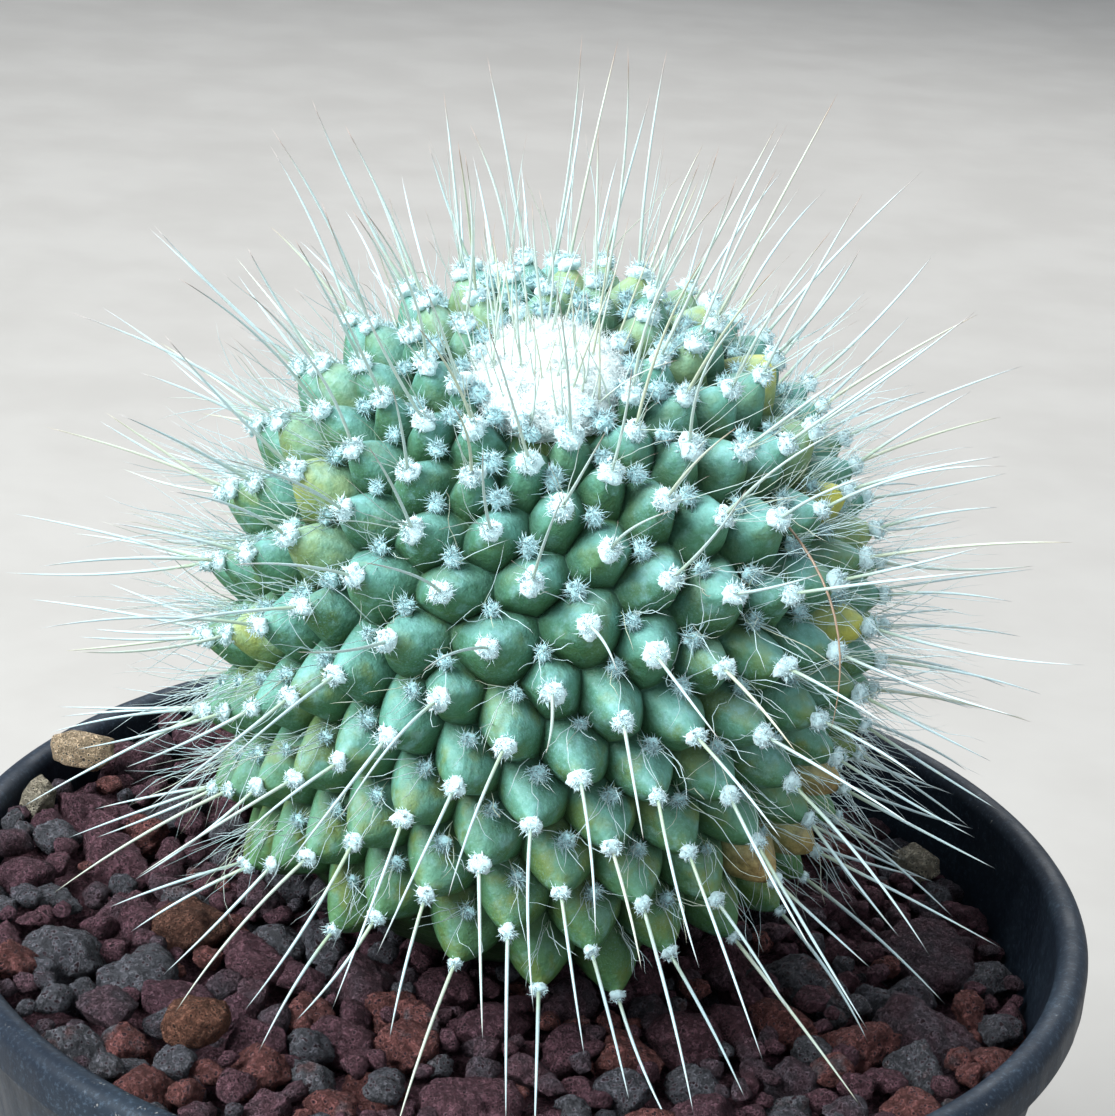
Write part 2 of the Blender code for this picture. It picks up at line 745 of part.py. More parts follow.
def raise_stem():
    """Drafts the stem with its tubercles and areoles, and returns the spines' roots with it."""
    spiral = spiral_sites()
    tubercles = [direction for direction in spiral if clears_bed(direction)]
    bare = [direction for direction in spiral if not clears_bed(direction)]
    plain = plain_sites() + [(d, surface_point(d, TUBERCLE_HEIGHT)) for d in bare]
    directions = tubercles + [direction for direction, _ in plain]
    triangles = sphere_triangles(directions)

    def site_point(site):
        return plain[site - len(tubercles)][1]

    def corner_point(t):
        middle = sum((directions[site] for site in t), Vector()).normalized()
        return surface_point(middle, tubercle_height(crown_axis().angle(middle)))

    draft = MeshDraft()
    raised = set(range(len(tubercles)))
    _, polygons = split_cells(draft, triangles, raised, site_point, corner_point)
    roots = [raise_tubercle(draft, polygons[k], tubercles[k]) for k in range(len(tubercles))]
    return draft, list(zip(roots, tubercles))


def build_cactus(draft, roots, stem_tree, ground_tree):
    """Grows the spines on the drafted stem and makes one body of them."""
    rng = random.Random(SPINE_SEED)
    choices = spine_choices()
    placed = []
    for root, direction in roots:
        grow_spine(draft, root, direction, stem_tree, ground_tree, placed, choices, rng)
    return draft.to_object("cactus", "cactus")


# Crown wool

def build_crown_wool():
    """Makes the wool pad that fills the crown's dish."""
    rng = random.Random(WOOL_SEED)
    axis = crown_axis()
    draft = MeshDraft()
    seat = []
    for k in range(CROWN_SIDES):
        direction = polar_direction(CROWN_RING * WOOL_SHARE, math.tau * k / CROWN_SIDES)
        seat.append(draft.add(surface_point(direction, CROWN_SINK) + axis * GAP))
    underside = draft.add(surface_point(axis, CROWN_SINK) + axis * GAP)
    rings = [seat]
    for share, rise in WOOL_RINGS:
        ring = []
        for k in range(CROWN_SIDES):
            direction = polar_direction(CROWN_RING * WOOL_SHARE * share, math.tau * k / CROWN_SIDES)
            bump = WOOL_BUMP * rng.uniform(-1.0, 1.0)
            ring.append(draft.add(surface_point(direction, CROWN_SINK) + axis * (GAP + rise + bump)))
        rings.append(ring)
    top = draft.add(surface_point(axis, CROWN_SINK) + axis * (GAP + WOOL_RINGS[-1][1]))
    for k in range(CROWN_SIDES):
        n = (k + 1) % CROWN_SIDES
        draft.faces.append((underside, seat[n], seat[k]))
        draft.faces.append((rings[-1][k], rings[-1][n], top))
        for low, high in zip(rings, rings[1:]):
            draft.faces.append((low[k], low[n], high[n], high[k]))
    return draft.to_object("crown_wool", "crown_wool")


def main():
    """Builds the pot, the bed, the pebbles, the cactus and its wool."""
    for obj in list(bpy.data.objects):
        bpy.data.objects.remove(obj, do_unlink=True)
    ground = MeshDraft()
    ground.take(build_pot())
    stem, roots = raise_stem()
    stem_tree = stem.tree()
    ground.take(build_gravel(stem_tree))
    pebble_rng = random.Random(STONE_SEED)
    for name in PEBBLES:
        build_pebble(name, ground, pebble_rng)
    build_cactus(stem, roots, stem_tree, ground.tree())
    build_crown_wool()


main()
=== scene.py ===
"""Dresses the potted cactus: its skin, spines and wool, the lava gravel, the pebbles and the pot.

Units are metres, +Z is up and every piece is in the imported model's own frame. The front is -Y.
"""

import json
import logging
import math
import random
from dataclasses import dataclass, field
from enum import Enum

import bmesh
import bpy
import numpy as np
from mathutils import Matrix, Vector

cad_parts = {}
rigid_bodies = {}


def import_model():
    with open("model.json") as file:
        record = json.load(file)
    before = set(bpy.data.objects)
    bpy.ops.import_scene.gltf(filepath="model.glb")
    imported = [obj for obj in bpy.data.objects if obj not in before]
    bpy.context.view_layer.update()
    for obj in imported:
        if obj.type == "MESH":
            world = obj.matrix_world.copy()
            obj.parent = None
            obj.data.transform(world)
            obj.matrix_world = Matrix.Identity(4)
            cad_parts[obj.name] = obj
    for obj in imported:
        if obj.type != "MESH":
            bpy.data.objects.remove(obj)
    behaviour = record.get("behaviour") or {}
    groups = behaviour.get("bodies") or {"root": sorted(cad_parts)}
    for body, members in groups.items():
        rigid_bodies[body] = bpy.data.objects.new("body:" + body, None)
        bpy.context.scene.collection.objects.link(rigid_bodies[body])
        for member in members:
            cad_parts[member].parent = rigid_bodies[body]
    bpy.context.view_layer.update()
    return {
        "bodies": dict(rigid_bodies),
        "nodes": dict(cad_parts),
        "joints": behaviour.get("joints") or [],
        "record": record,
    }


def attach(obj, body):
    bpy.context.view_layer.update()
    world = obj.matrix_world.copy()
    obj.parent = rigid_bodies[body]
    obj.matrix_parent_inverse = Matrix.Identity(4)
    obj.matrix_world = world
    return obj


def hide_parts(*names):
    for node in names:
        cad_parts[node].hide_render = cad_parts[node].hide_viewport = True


LOG = logging.getLogger("potted_cactus")
BODY = "root"
GOLDEN_SHARE = 3.0 - math.sqrt(5.0)
OLDEST_POLAR = math.radians(135.0)
HAIR_SIDES = 3

Colour = tuple[float, float, float]
Place = tuple[float, float, float]
Stone = tuple[float, float, float]
Span = tuple[float, float]
Spots = tuple[tuple[Place, float], ...]
Stops = tuple[tuple[float, Colour], ...]
Rows = np.ndarray
Rng = np.random.Generator
Mesh = bpy.types.Mesh
Material = bpy.types.Material
Socket = bpy.types.NodeSocket


class Slot(Enum):
    """The record's material slots."""

    PLASTIC = "pot_plastic"
    LAVA = "lava_stone"
    SKIN = "cactus_skin"
    WOOL = "wool"
    TAN = "tan_stone"
    ORANGE = "orange_stone"


class Lava(Enum):
    """The kinds of lava stone, as places on the lava finish's colour ramp."""

    MAROON = 0.10
    BROWN = 0.30
    GREY = 0.50
    RED = 0.70
    OCHRE = 0.92


# Numbers and meshes

def unit(rows: Rows) -> Rows:
    """Scales each row to length one."""
    return rows / np.linalg.norm(rows, axis=-1, keepdims=True)


def frames_across(along: Rows) -> tuple[Rows, Rows]:
    """Finds two unit vectors across each direction.

    Args:
        along: Unit directions, one row each.

    Returns:
        The two arrays of unit vectors.
    """
    nearly_upright = 0.9
    flat = np.abs(along[:, 2:3]) < nearly_upright
    reference = np.where(flat, np.array((0.0, 0.0, 1.0)), np.array((1.0, 0.0, 0.0)))
    side = unit(np.cross(along, reference))
    return side, np.cross(along, side)


def belts(levels: int, sides: int) -> Rows:
    """Lays quads between neighbouring rings of points.

    Args:
        levels: The number of rings, which are numbered one after the other.
        sides: The number of points on each.

    Returns:
        The quads, as rows of four point numbers.
    """
    here = np.arange(sides)
    after = (here + 1) % sides
    level = np.arange(levels - 1)[:, None] * sides
    corners = [level + here, level + after, level + after + sides, level + here + sides]
    return np.stack(corners, axis=-1).reshape(-1, 4)


def fan(first: int, sides: int, apex: int) -> Rows:
    """Lays triangles between a ring, whose points are numbered from first, and an apex."""
    here = np.arange(sides)
    return np.stack([first + here, first + (here + 1) % sides, np.full(sides, apex)], axis=-1)


def ripples(rng: Rng, places: Rows, count: int, pace: float) -> Rows:
    """Makes smooth random waves through space.

    Args:
        rng: The random source.
        places: Where they are read.
        count: The number of waves that are averaged.
        pace: How fast they swing, in radians for each unit of length.

    Returns:
        The mean of the waves at each place.
    """
    waves = rng.normal(size=(count, places.shape[-1])) * pace
    return np.sin(places @ waves.T + rng.uniform(0.0, math.tau, count)).mean(axis=-1)


def sphere_mesh(count: int) -> tuple[Rows, Rows]:
    """Makes a unit sphere of evenly spread points.

    Args:
        count: The number of points, which gives twice as many triangles.

    Returns:
        Its points and its triangles.
    """
    number = np.arange(count) + 0.5
    height = 1.0 - 2.0 * number / count
    turn = number * math.pi * GOLDEN_SHARE
    across = np.sqrt(1.0 - height**2)
    points = np.stack([across * np.cos(turn), across * np.sin(turn), height], axis=1)
    triangles = np.array(hull_triangles([Vector(point) for point in points]))
    corners = points[triangles]
    facing = np.cross(corners[:, 1] - corners[:, 0], corners[:, 2] - corners[:, 0])
    inward = (facing * corners[:, 0]).sum(axis=1) < 0
    triangles[inward] = triangles[inward][:, ::-1]
    return points, triangles


def hull_triangles(places: list[Vector]) -> list[list[int]]:
    """Wraps a hull round some places.

    Args:
        places: The places.

    Returns:
        Its triangles as point numbers, in either turning sense.
    """
    hull = bmesh.new()
    for place in places:
        hull.verts.new(place)
    hull.verts.index_update()
    bmesh.ops.convex_hull(hull, input=hull.verts)
    triangles = [[vert.index for vert in face.verts] for face in hull.faces]
    hull.free()
    return triangles


def welded(mesh: Mesh) -> tuple[Rows, Rows]:
    """Reads a mesh with the points that share a place counted as one.

    Args:
        mesh: The mesh to read, which isn't changed.

    Returns:
        Its points and its triangles.
    """
    decimals = 7
    places = np.empty(len(mesh.vertices) * 3, np.float32)
    mesh.vertices.foreach_get("co", places)
    mesh.calc_loop_triangles()
    triangles = np.empty(len(mesh.loop_triangles) * 3, np.int32)
    mesh.loop_triangles.foreach_get("vertices", triangles)
    places = places.reshape(-1, 3).astype(float)
    _, first, number = np.unique(np.round(places, decimals), axis=0, return_index=True, return_inverse=True)
    return places[first], number.ravel()[triangles].reshape(-1, 3)


@dataclass
class MeshDraft:
    """Points, faces and values of one piece, gathered before they become its mesh."""

    name: str
    count: int = 0
    points: list[Rows] = field(default_factory=list)
    faces: list[Rows] = field(default_factory=list)
    values: dict[str, list[Rows]] = field(default_factory=dict)

    def add(self, points: Rows, faces: list[Rows], **values: Rows | float) -> None:
        """Adds points and the faces between them.

        Args:
            points: Places, one row each.
            faces: Arrays of point numbers counted from these points, one array for each face size.
            values: Numbers for the points, which the finishes read by name.
        """
        self.faces += [np.asarray(group) + self.count for group in faces if len(group)]
        for name, value in values.items():
            column = np.broadcast_to(np.asarray(value, float), len(points))
            self.values.setdefault(name, []).append(column)
        self.points.append(points)
        self.count += len(points)

    def mesh(self) -> Mesh:
        """Makes the mesh with its point values.

        Returns:
            The mesh.
        """
        corners = np.concatenate([group.ravel() for group in self.faces])
        sizes = np.concatenate([np.full(len(group), group.shape[1]) for group in self.faces])
        mesh = bpy.data.meshes.new(self.name)
        mesh.vertices.add(self.count)
        mesh.vertices.foreach_set("co", np.concatenate(self.points).astype(np.float32).ravel())
        mesh.loops.add(len(corners))
        mesh.loops.foreach_set("vertex_index", corners.astype(np.int32))
        mesh.polygons.add(len(sizes))
        mesh.polygons.foreach_set("loop_start", (np.cumsum(sizes) - sizes).astype(np.int32))
        mesh.update(calc_edges=True)
        for name, columns in self.values.items():
            layer = mesh.attributes.new(name, "FLOAT", "POINT")
            layer.data.foreach_set("value", np.concatenate(columns).astype(np.float32))
        return mesh

    def to_piece(self, material: Material, slot: Slot, *nodes: str, weld: float = 0.0) -> None:
        """Makes the piece, rides it on the body and lets it stand for its nodes.

        Args:
            material: The piece's finish.
            slot: The record's slot that the finish belongs to; not used.
            nodes: The CAD nodes that the piece replaces.
            weld: Points closer than this are joined.
        """
        mesh = self.mesh()
        if weld:
            whole = bmesh.new()
            whole.from_mesh(mesh)
            bmesh.ops.remove_doubles(whole, verts=whole.verts, dist=weld)
            whole.to_mesh(mesh)
            whole.free()
        mesh.shade_smooth()
        mesh.materials.append(material)
        piece = bpy.data.objects.new(self.name, mesh)
        bpy.context.scene.collection.objects.link(piece)
        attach(piece, BODY)
        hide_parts(*nodes)
        LOG.info("%s: %d triangles", self.name, sum(len(face.vertices) - 2 for face in mesh.polygons))


def add_strands(draft: MeshDraft, paths: Rows, radii: Rows, sides: int, **values: Rows) -> None:
    """Adds tapered round strands, such as spines, bristles and hairs.

    Args:
        draft: The piece that gets them.
        paths: Points along each strand, by strand, step and axis.
        radii: The radius at each of those points, by strand and step.
        sides: The number of sides of a strand.
        values: One number for each strand, which the finishes read by name.
    """
    count, steps, _ = paths.shape
    side, across = frames_across(unit(paths[:, -1] - paths[:, 0]))
    turn = math.tau * np.arange(sides) / sides
    ring = side[:, None] * np.cos(turn)[None, :, None] + across[:, None] * np.sin(turn)[None, :, None]
    body = paths[:, :-1, None] + ring[:, None] * radii[:, :-1, None, None]
    points = np.concatenate([body.reshape(count, -1, 3), paths[:, -1:]], axis=1)
    stride = points.shape[1]
    first = (np.arange(count) * stride)[:, None, None]
    tip = fan((steps - 2) * sides, sides, stride - 1)
    one = [belts(steps - 1, sides), tip, np.arange(sides)[None, ::-1]]
    groups = [(faces[None] + first).reshape(-1, faces.shape[-1]) for faces in one]
    along = np.append(np.repeat(np.linspace(0.0, 1.0, steps)[:-1], sides), 1.0)
    own = {name: np.repeat(value, stride) for name, value in values.items()}
    draft.add(points.reshape(-1, 3), groups, along=np.tile(along, count), **own)


def bent_paths(root: Rows, control: Rows, end: Rows, steps: int) -> Rows:
    """Lays arcs that leave their roots towards a control point and reach their ends."""
    share = np.linspace(0.0, 1.0, steps)[None, :, None]
    return root * (1 - share) ** 2 + control * 2.0 * share * (1 - share) + end * share**2


@dataclass
class Sprouts:
    """Where strands leave a surface, the unit directions that they leave in, and their lengths."""

    rng: Rng
    roots: Rows
    towards: Rows
    lengths: Rows
    twist_share: float = 0.35
    twist_turn: float = 4.0

    def curly(self, steps: int, curl: float) -> Rows:
        """Lays hairs that curl more towards their ends.

        Args:
            steps: The number of points along each.
            curl: How far an end strays, as a share of the length.

        Returns:
            The points, by hair, step and axis.
        """
        towards = self.towards
        share = np.linspace(0.0, 1.0, steps)[None, :, None]
        stray = self.rng.normal(size=towards.shape)
        stray -= towards * (stray * towards).sum(axis=1, keepdims=True)
        twist = np.cross(towards, stray)
        phase = self.rng.uniform(0.0, math.tau, (len(towards), 1, 1))
        twisted = self.twist_share * twist[:, None] * share * np.sin(phase + self.twist_turn * share)
        bend = stray[:, None] * share**2 + twisted
        return self.roots[:, None] + (towards[:, None] * share + curl * bend) * self.lengths[:, None, None]

    def wandering(self, steps: int, curl: float) -> Rows:
        """Lays bristles that change their direction a little at every step.

        Args:
            steps: The number of points along each.
            curl: How far they turn over their whole length, where 1 is about 45 degrees.

        Returns:
            The points, by bristle, step and axis.
        """
        turns = self.rng.normal(size=(len(self.roots), steps - 1, 3)) * curl / math.sqrt(steps)
        turns[:, 0] = 0.0
        heading = unit(self.towards[:, None] + np.cumsum(turns, axis=1))
        strides = heading * (self.lengths / (steps - 1))[:, None, None]
        roots = self.roots[:, None]
        return np.concatenate([roots, roots + np.cumsum(strides, axis=1)], axis=1)


def scattered(rng: Rng, normals: Rows, spread: float) -> Rows:
    """Turns each normal aside at random.

    Args:
        rng: The random source.
        normals: Unit directions, one row each.
        spread: How far they stray, where 1 is about 45 degrees.

    Returns:
        Unit directions.
    """
    even = 0.7
    return unit(normals + spread * rng.normal(size=normals.shape) * even)


# Finishes

@dataclass(frozen=True)
class Step:
    """A smooth step of a value: where it begins and ends, and what it gives there."""

    low: float
    high: float
    first: float = 0.0
    last: float = 1.0


@dataclass(frozen=True)
class Noise:
    """Cloudy noise: its patches' size in metres, its finer layers, their strength, a step and a depth."""

    size: float
    detail: float = 3.0
    rough: float = 0.5
    step: Step | None = None
    depth: float = 0.0


class Painter:
    """Lays out the nodes of one material round its Principled shader."""

    def __init__(self, name: str, **sockets: float) -> None:
        """Starts a material.

        Args:
            name: The material's name.
            sockets: The shader's even values, with the sockets' names in lower case and underscores.
        """
        self.material = bpy.data.materials.new(name)
        self.material.use_nodes = True
        self.tree = self.material.node_tree
        self.shader = self.tree.nodes["Principled BSDF"]
        self.place = self.node("ShaderNodeTexCoord").outputs["Object"]
        for key, value in sockets.items():
            self.feed(self.socket(key), value)

    def socket(self, key: str) -> Socket:
        """Finds the shader's input by its name in lower case."""
        return next(s for s in self.shader.inputs if s.name.lower().replace(" ", "_") == key)

    def node(self, kind: str, **settings: object) -> bpy.types.Node:
        """Adds a node.

        Args:
            kind: Its type.
            settings: Its settings by name.

        Returns:
            The node.
        """
        node = self.tree.nodes.new(kind)
        for name, setting in settings.items():
            setattr(node, name, setting)
        return node

    def feed(self, target: Socket, source: Socket | float | Colour) -> None:
        """Links a socket, or sets its value where the source is a number or a colour.

        Args:
            target: The socket.
            source: The output, number or colour.
        """
        if isinstance(source, Socket):
            self.tree.links.new(source, target)
        else:
            target.default_value = (*source, 1.0) if isinstance(source, tuple) else source

    def fed(self, node: bpy.types.Node, **sources: Socket | float) -> bpy.types.Node:
        """Feeds a node's inputs.

        Args:
            node: The node.
            sources: What the inputs get, by their names in lower case with underscores.

        Returns:
            The node.
        """
        for key, source in sources.items():
            self.feed(node.inputs[key.replace("_", " ").title()], source)
        return node

    def stretched(self, stretch: Place) -> Socket:
        """Scales the axes of the place, so that patterns run long along one of them.

        Args:
            stretch: The scale of each axis.

        Returns:
            The scaled place.
        """
        mapping = self.fed(self.node("ShaderNodeMapping"), vector=self.place)
        mapping.inputs["Scale"].default_value = stretch
        return mapping.outputs["Vector"]

    def noise(self, noise: Noise, place: Socket | None = None) -> Socket:
        """Lays out noise.

        Args:
            noise: Its sizes.
            place: Where it is read, when that isn't the plain place.

        Returns:
            Its value, from the step if it has one, or else mostly from 0.3 to 0.7.
        """
        node = self.fed(
            self.node("ShaderNodeTexNoise"), vector=place or self.place, scale=1.0 / noise.size,
            detail=noise.detail, roughness=noise.rough,
        )
        value = node.outputs["Fac"]
        return self.step(value, noise.step) if noise.step else value

    def cells(self, size: float) -> Socket:
        """The distance to the nearest of scattered points, in cell sizes."""
        node = self.fed(self.node("ShaderNodeTexVoronoi"), vector=self.place, scale=1.0 / size)
        return node.outputs["Distance"]

    def value(self, name: str) -> Socket:
        """Reads one of the piece's own point values."""
        return self.node("ShaderNodeAttribute", attribute_name=name).outputs["Fac"]

    def upward(self) -> Socket:
        """How far the surface faces up, from -1 to 1."""
        normal = self.node("ShaderNodeTexCoord").outputs["Normal"]
        return self.fed(self.node("ShaderNodeSeparateXYZ"), vector=normal).outputs["Z"]

    def step(self, source: Socket, step: Step) -> Socket:
        """Maps a stretch of a value smoothly to another.

        Args:
            source: The value.
            step: The stretch and what it gives.

        Returns:
            The mapped value.
        """
        node = self.fed(
            self.node("ShaderNodeMapRange", interpolation_type="SMOOTHSTEP"), value=source,
            from_min=step.low, from_max=step.high, to_min=step.first, to_max=step.last,
        )
        return node.outputs["Result"]

    def sum_of(self, operation: str, *sources: Socket | float) -> Socket:
        """Joins values one after the other.

        Args:
            operation: The kind of sum.
            sources: The values.

        Returns:
            The total.
        """
        total = sources[0]
        for source in sources[1:]:
            node = self.node("ShaderNodeMath", operation=operation)
            self.feed(node.inputs[0], total)
            self.feed(node.inputs[1], source)
            total = node.outputs[0]
        return total

    def times(self, *sources: Socket | float) -> Socket:
        """Multiplies values."""
        return self.sum_of("MULTIPLY", *sources)

    def plus(self, *sources: Socket | float) -> Socket:
        """Adds values."""
        return self.sum_of("ADD", *sources)

    def blend(self, share: Socket, low: Socket | Colour, high: Socket | Colour) -> Socket:
        """Blends two colours.

        Args:
            share: The share of the second.
            low: The first.
            high: The second.

        Returns:
            The blend.
        """
        node = self.node("ShaderNodeMix", data_type="RGBA")
        for number, source in ((0, share), (6, low), (7, high)):
            self.feed(node.inputs[number], source)
        return node.outputs[2]

    def ramp(self, source: Socket, stops: Stops, light: float = 1.0) -> Socket:
        """Turns a value into a colour through a ramp of stops.

        Args:
            source: The value.
            stops: The places and colours of the stops.
            light: The share of their light that the colours keep.

        Returns:
            The colour.
        """
        node = self.node("ShaderNodeValToRGB")
        elements = node.color_ramp.elements
        elements.remove(elements[1])
        for number, (position, colour) in enumerate(stops):
            stop = elements[0] if number == 0 else elements.new(position)
            stop.position = position
            stop.color = (*(light * part for part in colour), 1.0)
        self.feed(node.inputs["Fac"], source)
        return node.outputs["Color"]

    def bump(self, height: Socket, depth: float, below: Socket | None = None) -> Socket:
        """Roughens the surface.

        Args:
            height: The relief, from 0 to 1.
            depth: How deep a step of 1 is in metres.
            below: The bump that this one lies on.

        Returns:
            The bumped normal.
        """
        node = self.fed(self.node("ShaderNodeBump"), distance=depth, height=height)
        if below:
            self.feed(node.inputs["Normal"], below)
        return node.outputs["Normal"]

    def relief(self, *noises: Noise) -> Socket:
        """Lays bumps over each other.

        Args:
            noises: Their noises, the finest first.

        Returns:
            The bumped normal.
        """
        normal = None
        for noise in noises:
            normal = self.bump(self.noise(noise), noise.depth, normal)
        return normal

    def done(self, colour: Socket, roughness: Socket, normal: Socket | None = None) -> Material:
        """Wires the shader.

        Args:
            colour: The base colour.
            roughness: The roughness.
            normal: The bumped normal, if there is one.

        Returns:
            The material.
        """
        for key, source in (("base_color", colour), ("roughness", roughness), ("normal", normal)):
            if source:
                self.feed(self.socket(key), source)
        return self.material


@dataclass(frozen=True)
class SkinFinish:
    """Waxy blue-green skin, yellower low down, with pale bloom and a few ripe tips. Painted shade darkens
    the creases and the downward faces, and painted light adds bloom colour to the upward faces.
    """

    # painted shade: the dark colour laid into the creases between tubercles
    painted_crease_shade: Colour = (0.022, 0.060, 0.024)
    deep: Colour = (0.046, 0.146, 0.086)
    # painted shade: the darker green of faces that turn downwards
    under: Colour = (0.036, 0.114, 0.030)
    fresh: Colour = (0.138, 0.360, 0.305)
    old: Colour = (0.092, 0.194, 0.056)
    olive: Colour = (0.140, 0.195, 0.050)
    bloom: Colour = (0.222, 0.432, 0.450)
    ripe: Colour = (0.600, 0.560, 0.085)
    dry: Colour = (0.560, 0.400, 0.160)
    burnt: Colour = (0.260, 0.150, 0.060)
    shine: float = 0.26
    broad_share: float = 0.48
    mottle_share: float = 0.42
    tone_share: float = 0.26
    broad: Noise = Noise(0.0060, 4.0, 0.65, Step(0.36, 0.64))
    mottle: Noise = Noise(0.00132, 4.0, 0.7, Step(0.32, 0.68))
    olives: Noise = Noise(0.0042, 3.0, 0.6, Step(0.47, 0.64))
    specks: Noise = Noise(0.00021, 3.0, 0.8, Step(0.50, 0.72, 0.0, 0.55))
    dusty: Noise = Noise(0.008, 3.0, 0.5, Step(0.38, 0.64, 0.15, 1.0))
    powder: Noise = Noise(0.0024, 4.0, 0.7, Step(0.50, 0.70, 0.0, 0.45))
    flush: Noise = Noise(0.0018, 3.0, 0.5, Step(0.30, 0.62, 0.55, 1.0))
    gloss: Noise = Noise(0.0009, 4.0, 0.6, Step(0.3, 0.7, 0.42, 0.68))
    pores: Noise = Noise(0.00030, 3.0, 0.7, depth=0.00006)
    dents: Noise = Noise(0.0014, 3.0, 0.6, depth=0.00030)
    ageing: Step = Step(0.45, 0.90, 0.0, 0.85)
    olive_ageing: Step = Step(0.1, 0.8, 0.35, 0.95)
    youth: Step = Step(0.35, 0.90, 1.0, 0.55)
    # painted shade: how far a face turns down before it darkens
    underside: Step = Step(-0.45, 0.55, 0.72, 0.0)
    # painted light: upward faces get more bloom colour
    top: Step = Step(0.25, 1.0, 0.0, 0.28)
    powdered: Step = Step(0.1, 0.6)
    # painted shade: how high the crease darkening reaches, higher on young tubercles
    crease_height: Step = Step(0.1, 0.6, 0.26, 0.0)
    crease_shading: Step = Step(0.0, 0.52, 0.64, 0.0)

    def material(self) -> Material:
        """Lays out the skin's nodes.

        Returns:
            The material.
        """
        painter = Painter("cactus_skin", specular_ior_level=self.shine)
        age, rise, up = painter.value("age"), painter.value("rise"), painter.upward()
        mottle = painter.noise(self.mottle)
        tone = painter.plus(
            painter.times(painter.noise(self.broad), self.broad_share),
            painter.times(mottle, self.mottle_share),
            painter.times(painter.value("tone"), self.tone_share),
        )
        youth = painter.step(age, self.youth)
        olives = painter.times(painter.noise(self.olives), painter.step(age, self.olive_ageing))
        specks = painter.times(painter.noise(self.specks), painter.noise(self.dusty), youth)
        # bloom patches from noise, plus painted light: the upward faces of the young tubercles get more
        # bloom colour
        powder = painter.plus(painter.noise(self.powder), painter.step(up, self.top))
        powder = painter.times(powder, youth, painter.step(rise, self.powdered))
        # painted shade: darker towards each tubercle's base, where the creases lie
        flank = painter.sum_of("SUBTRACT", rise, painter.step(age, self.crease_height))
        green = painter.blend(tone, self.deep, self.fresh)
        for share, colour in (
            (painter.step(age, self.ageing), self.old),
            (olives, self.olive),
            # painted shade on the downward faces
            (painter.step(up, self.underside), self.under),
            (specks, self.bloom),
            (powder, self.bloom),
            # painted shade in the creases
            (painter.step(flank, self.crease_shading), self.painted_crease_shade),
            (painter.times(painter.value("ripe"), painter.noise(self.flush)), self.ripe),
            (painter.value("dry"), painter.blend(mottle, self.burnt, self.dry)),
        ):
            green = painter.blend(share, green, colour)
        return painter.done(green, painter.noise(self.gloss), painter.relief(self.pores, self.dents))


@dataclass(frozen=True)
class SpineFinish:
    """White horny spines with a cream-green foot and a red-brown tip on the young ones."""

    foot: Colour = (0.36, 0.46, 0.29)
    shaft: Colour = (0.44, 0.58, 0.61)
    young: Colour = (0.55, 0.66, 0.60)
    cream: Colour = (0.46, 0.47, 0.31)
    tip: Colour = (0.26, 0.12, 0.08)
    dead: Colour = (0.28, 0.19, 0.13)
    shine: float = 0.5
    streaks: Noise = Noise(0.0006, 3.0, 0.6, depth=0.00002)
    stretch: Place = (1.0, 1.0, 0.3)
    streaky: Step = Step(0.45, 0.75, 0.0, 0.35)
    gloss: Step = Step(0.3, 0.7, 0.28, 0.45)
    youth: Step = Step(0.05, 0.45, 0.85, 0.0)
    creamy: Step = Step(0.75, 1.0, 0.0, 0.7)
    foot_stray: float = 0.25
    footed: Step = Step(0.12, 0.45, 0.8, 0.0)
    foot_ageing: Step = Step(0.1, 0.5, 0.4, 1.0)
    tipped: Step = Step(0.70, 0.97)
    tip_ageing: Step = Step(0.15, 0.65, 0.8, 0.28)
    died: Step = Step(1.2, 1.8)

    def material(self) -> Material:
        """Lays out the spines' nodes.

        Returns:
            The material.
        """
        painter = Painter("spine_horn", specular_ior_level=self.shine)
        age, along, chance = (painter.value(name) for name in ("age", "along", "chance"))
        streaks = painter.noise(self.streaks, painter.stretched(self.stretch))
        reach = painter.step(painter.plus(along, painter.times(chance, self.foot_stray)), self.footed)
        colour = self.shaft
        for share, other in (
            (painter.step(age, self.youth), self.young),
            (painter.step(chance, self.creamy), self.cream),
            (painter.times(reach, painter.step(age, self.foot_ageing)), self.foot),
            (painter.step(streaks, self.streaky), self.cream),
            (painter.times(painter.step(along, self.tipped), painter.step(age, self.tip_ageing)), self.tip),
            (painter.step(chance, self.died), self.dead),
        ):
            colour = painter.blend(share, colour, other)
        relief = painter.bump(streaks, self.streaks.depth)
        return painter.done(colour, painter.step(streaks, self.gloss), relief)


@dataclass(frozen=True)
class WoolFinish:
    """Dense white plant wool, with painted shade that makes it darker and bluer towards a tuft's core and
    its hairs' roots and where the fibre noise is low.
    """

    name: str = "white_wool"
    light: Colour = (0.74, 0.97, 1.0)
    shade: Colour = (0.48, 0.72, 0.78)
    shine: float = 0.2
    sheen: float = 0.6
    sheen_roughness: float = 0.6
    fibres: Noise = Noise(0.00018, 4.0, 0.7, depth=0.000108)
    # painted light and shade: the fibre noise and the place along a hair pick between the shade and light
    # colours
    lit: Step = Step(0.36, 0.58, 0.4, 1.0)
    outer: Step = Step(0.0, 0.6, 0.3, 1.0)
    gloss: Step = Step(0.2, 0.8, 0.8, 1.0)

    def material(self) -> Material:
        """Lays out the wool's nodes.

        Returns:
            The material.
        """
        painter = Painter(
            self.name, specular_ior_level=self.shine, sheen_weight=self.sheen,
            sheen_roughness=self.sheen_roughness,
        )
        fibres = painter.noise(self.fibres)
        # painted shade: darker towards the core and the hairs' roots, and where the fibre noise is low
        lit = painter.times(painter.step(fibres, self.lit), painter.step(painter.value("along"), self.outer))
        colour = painter.blend(lit, self.shade, self.light)
        return painter.done(
            colour, painter.step(fibres, self.gloss), painter.bump(fibres, self.fibres.depth)
        )


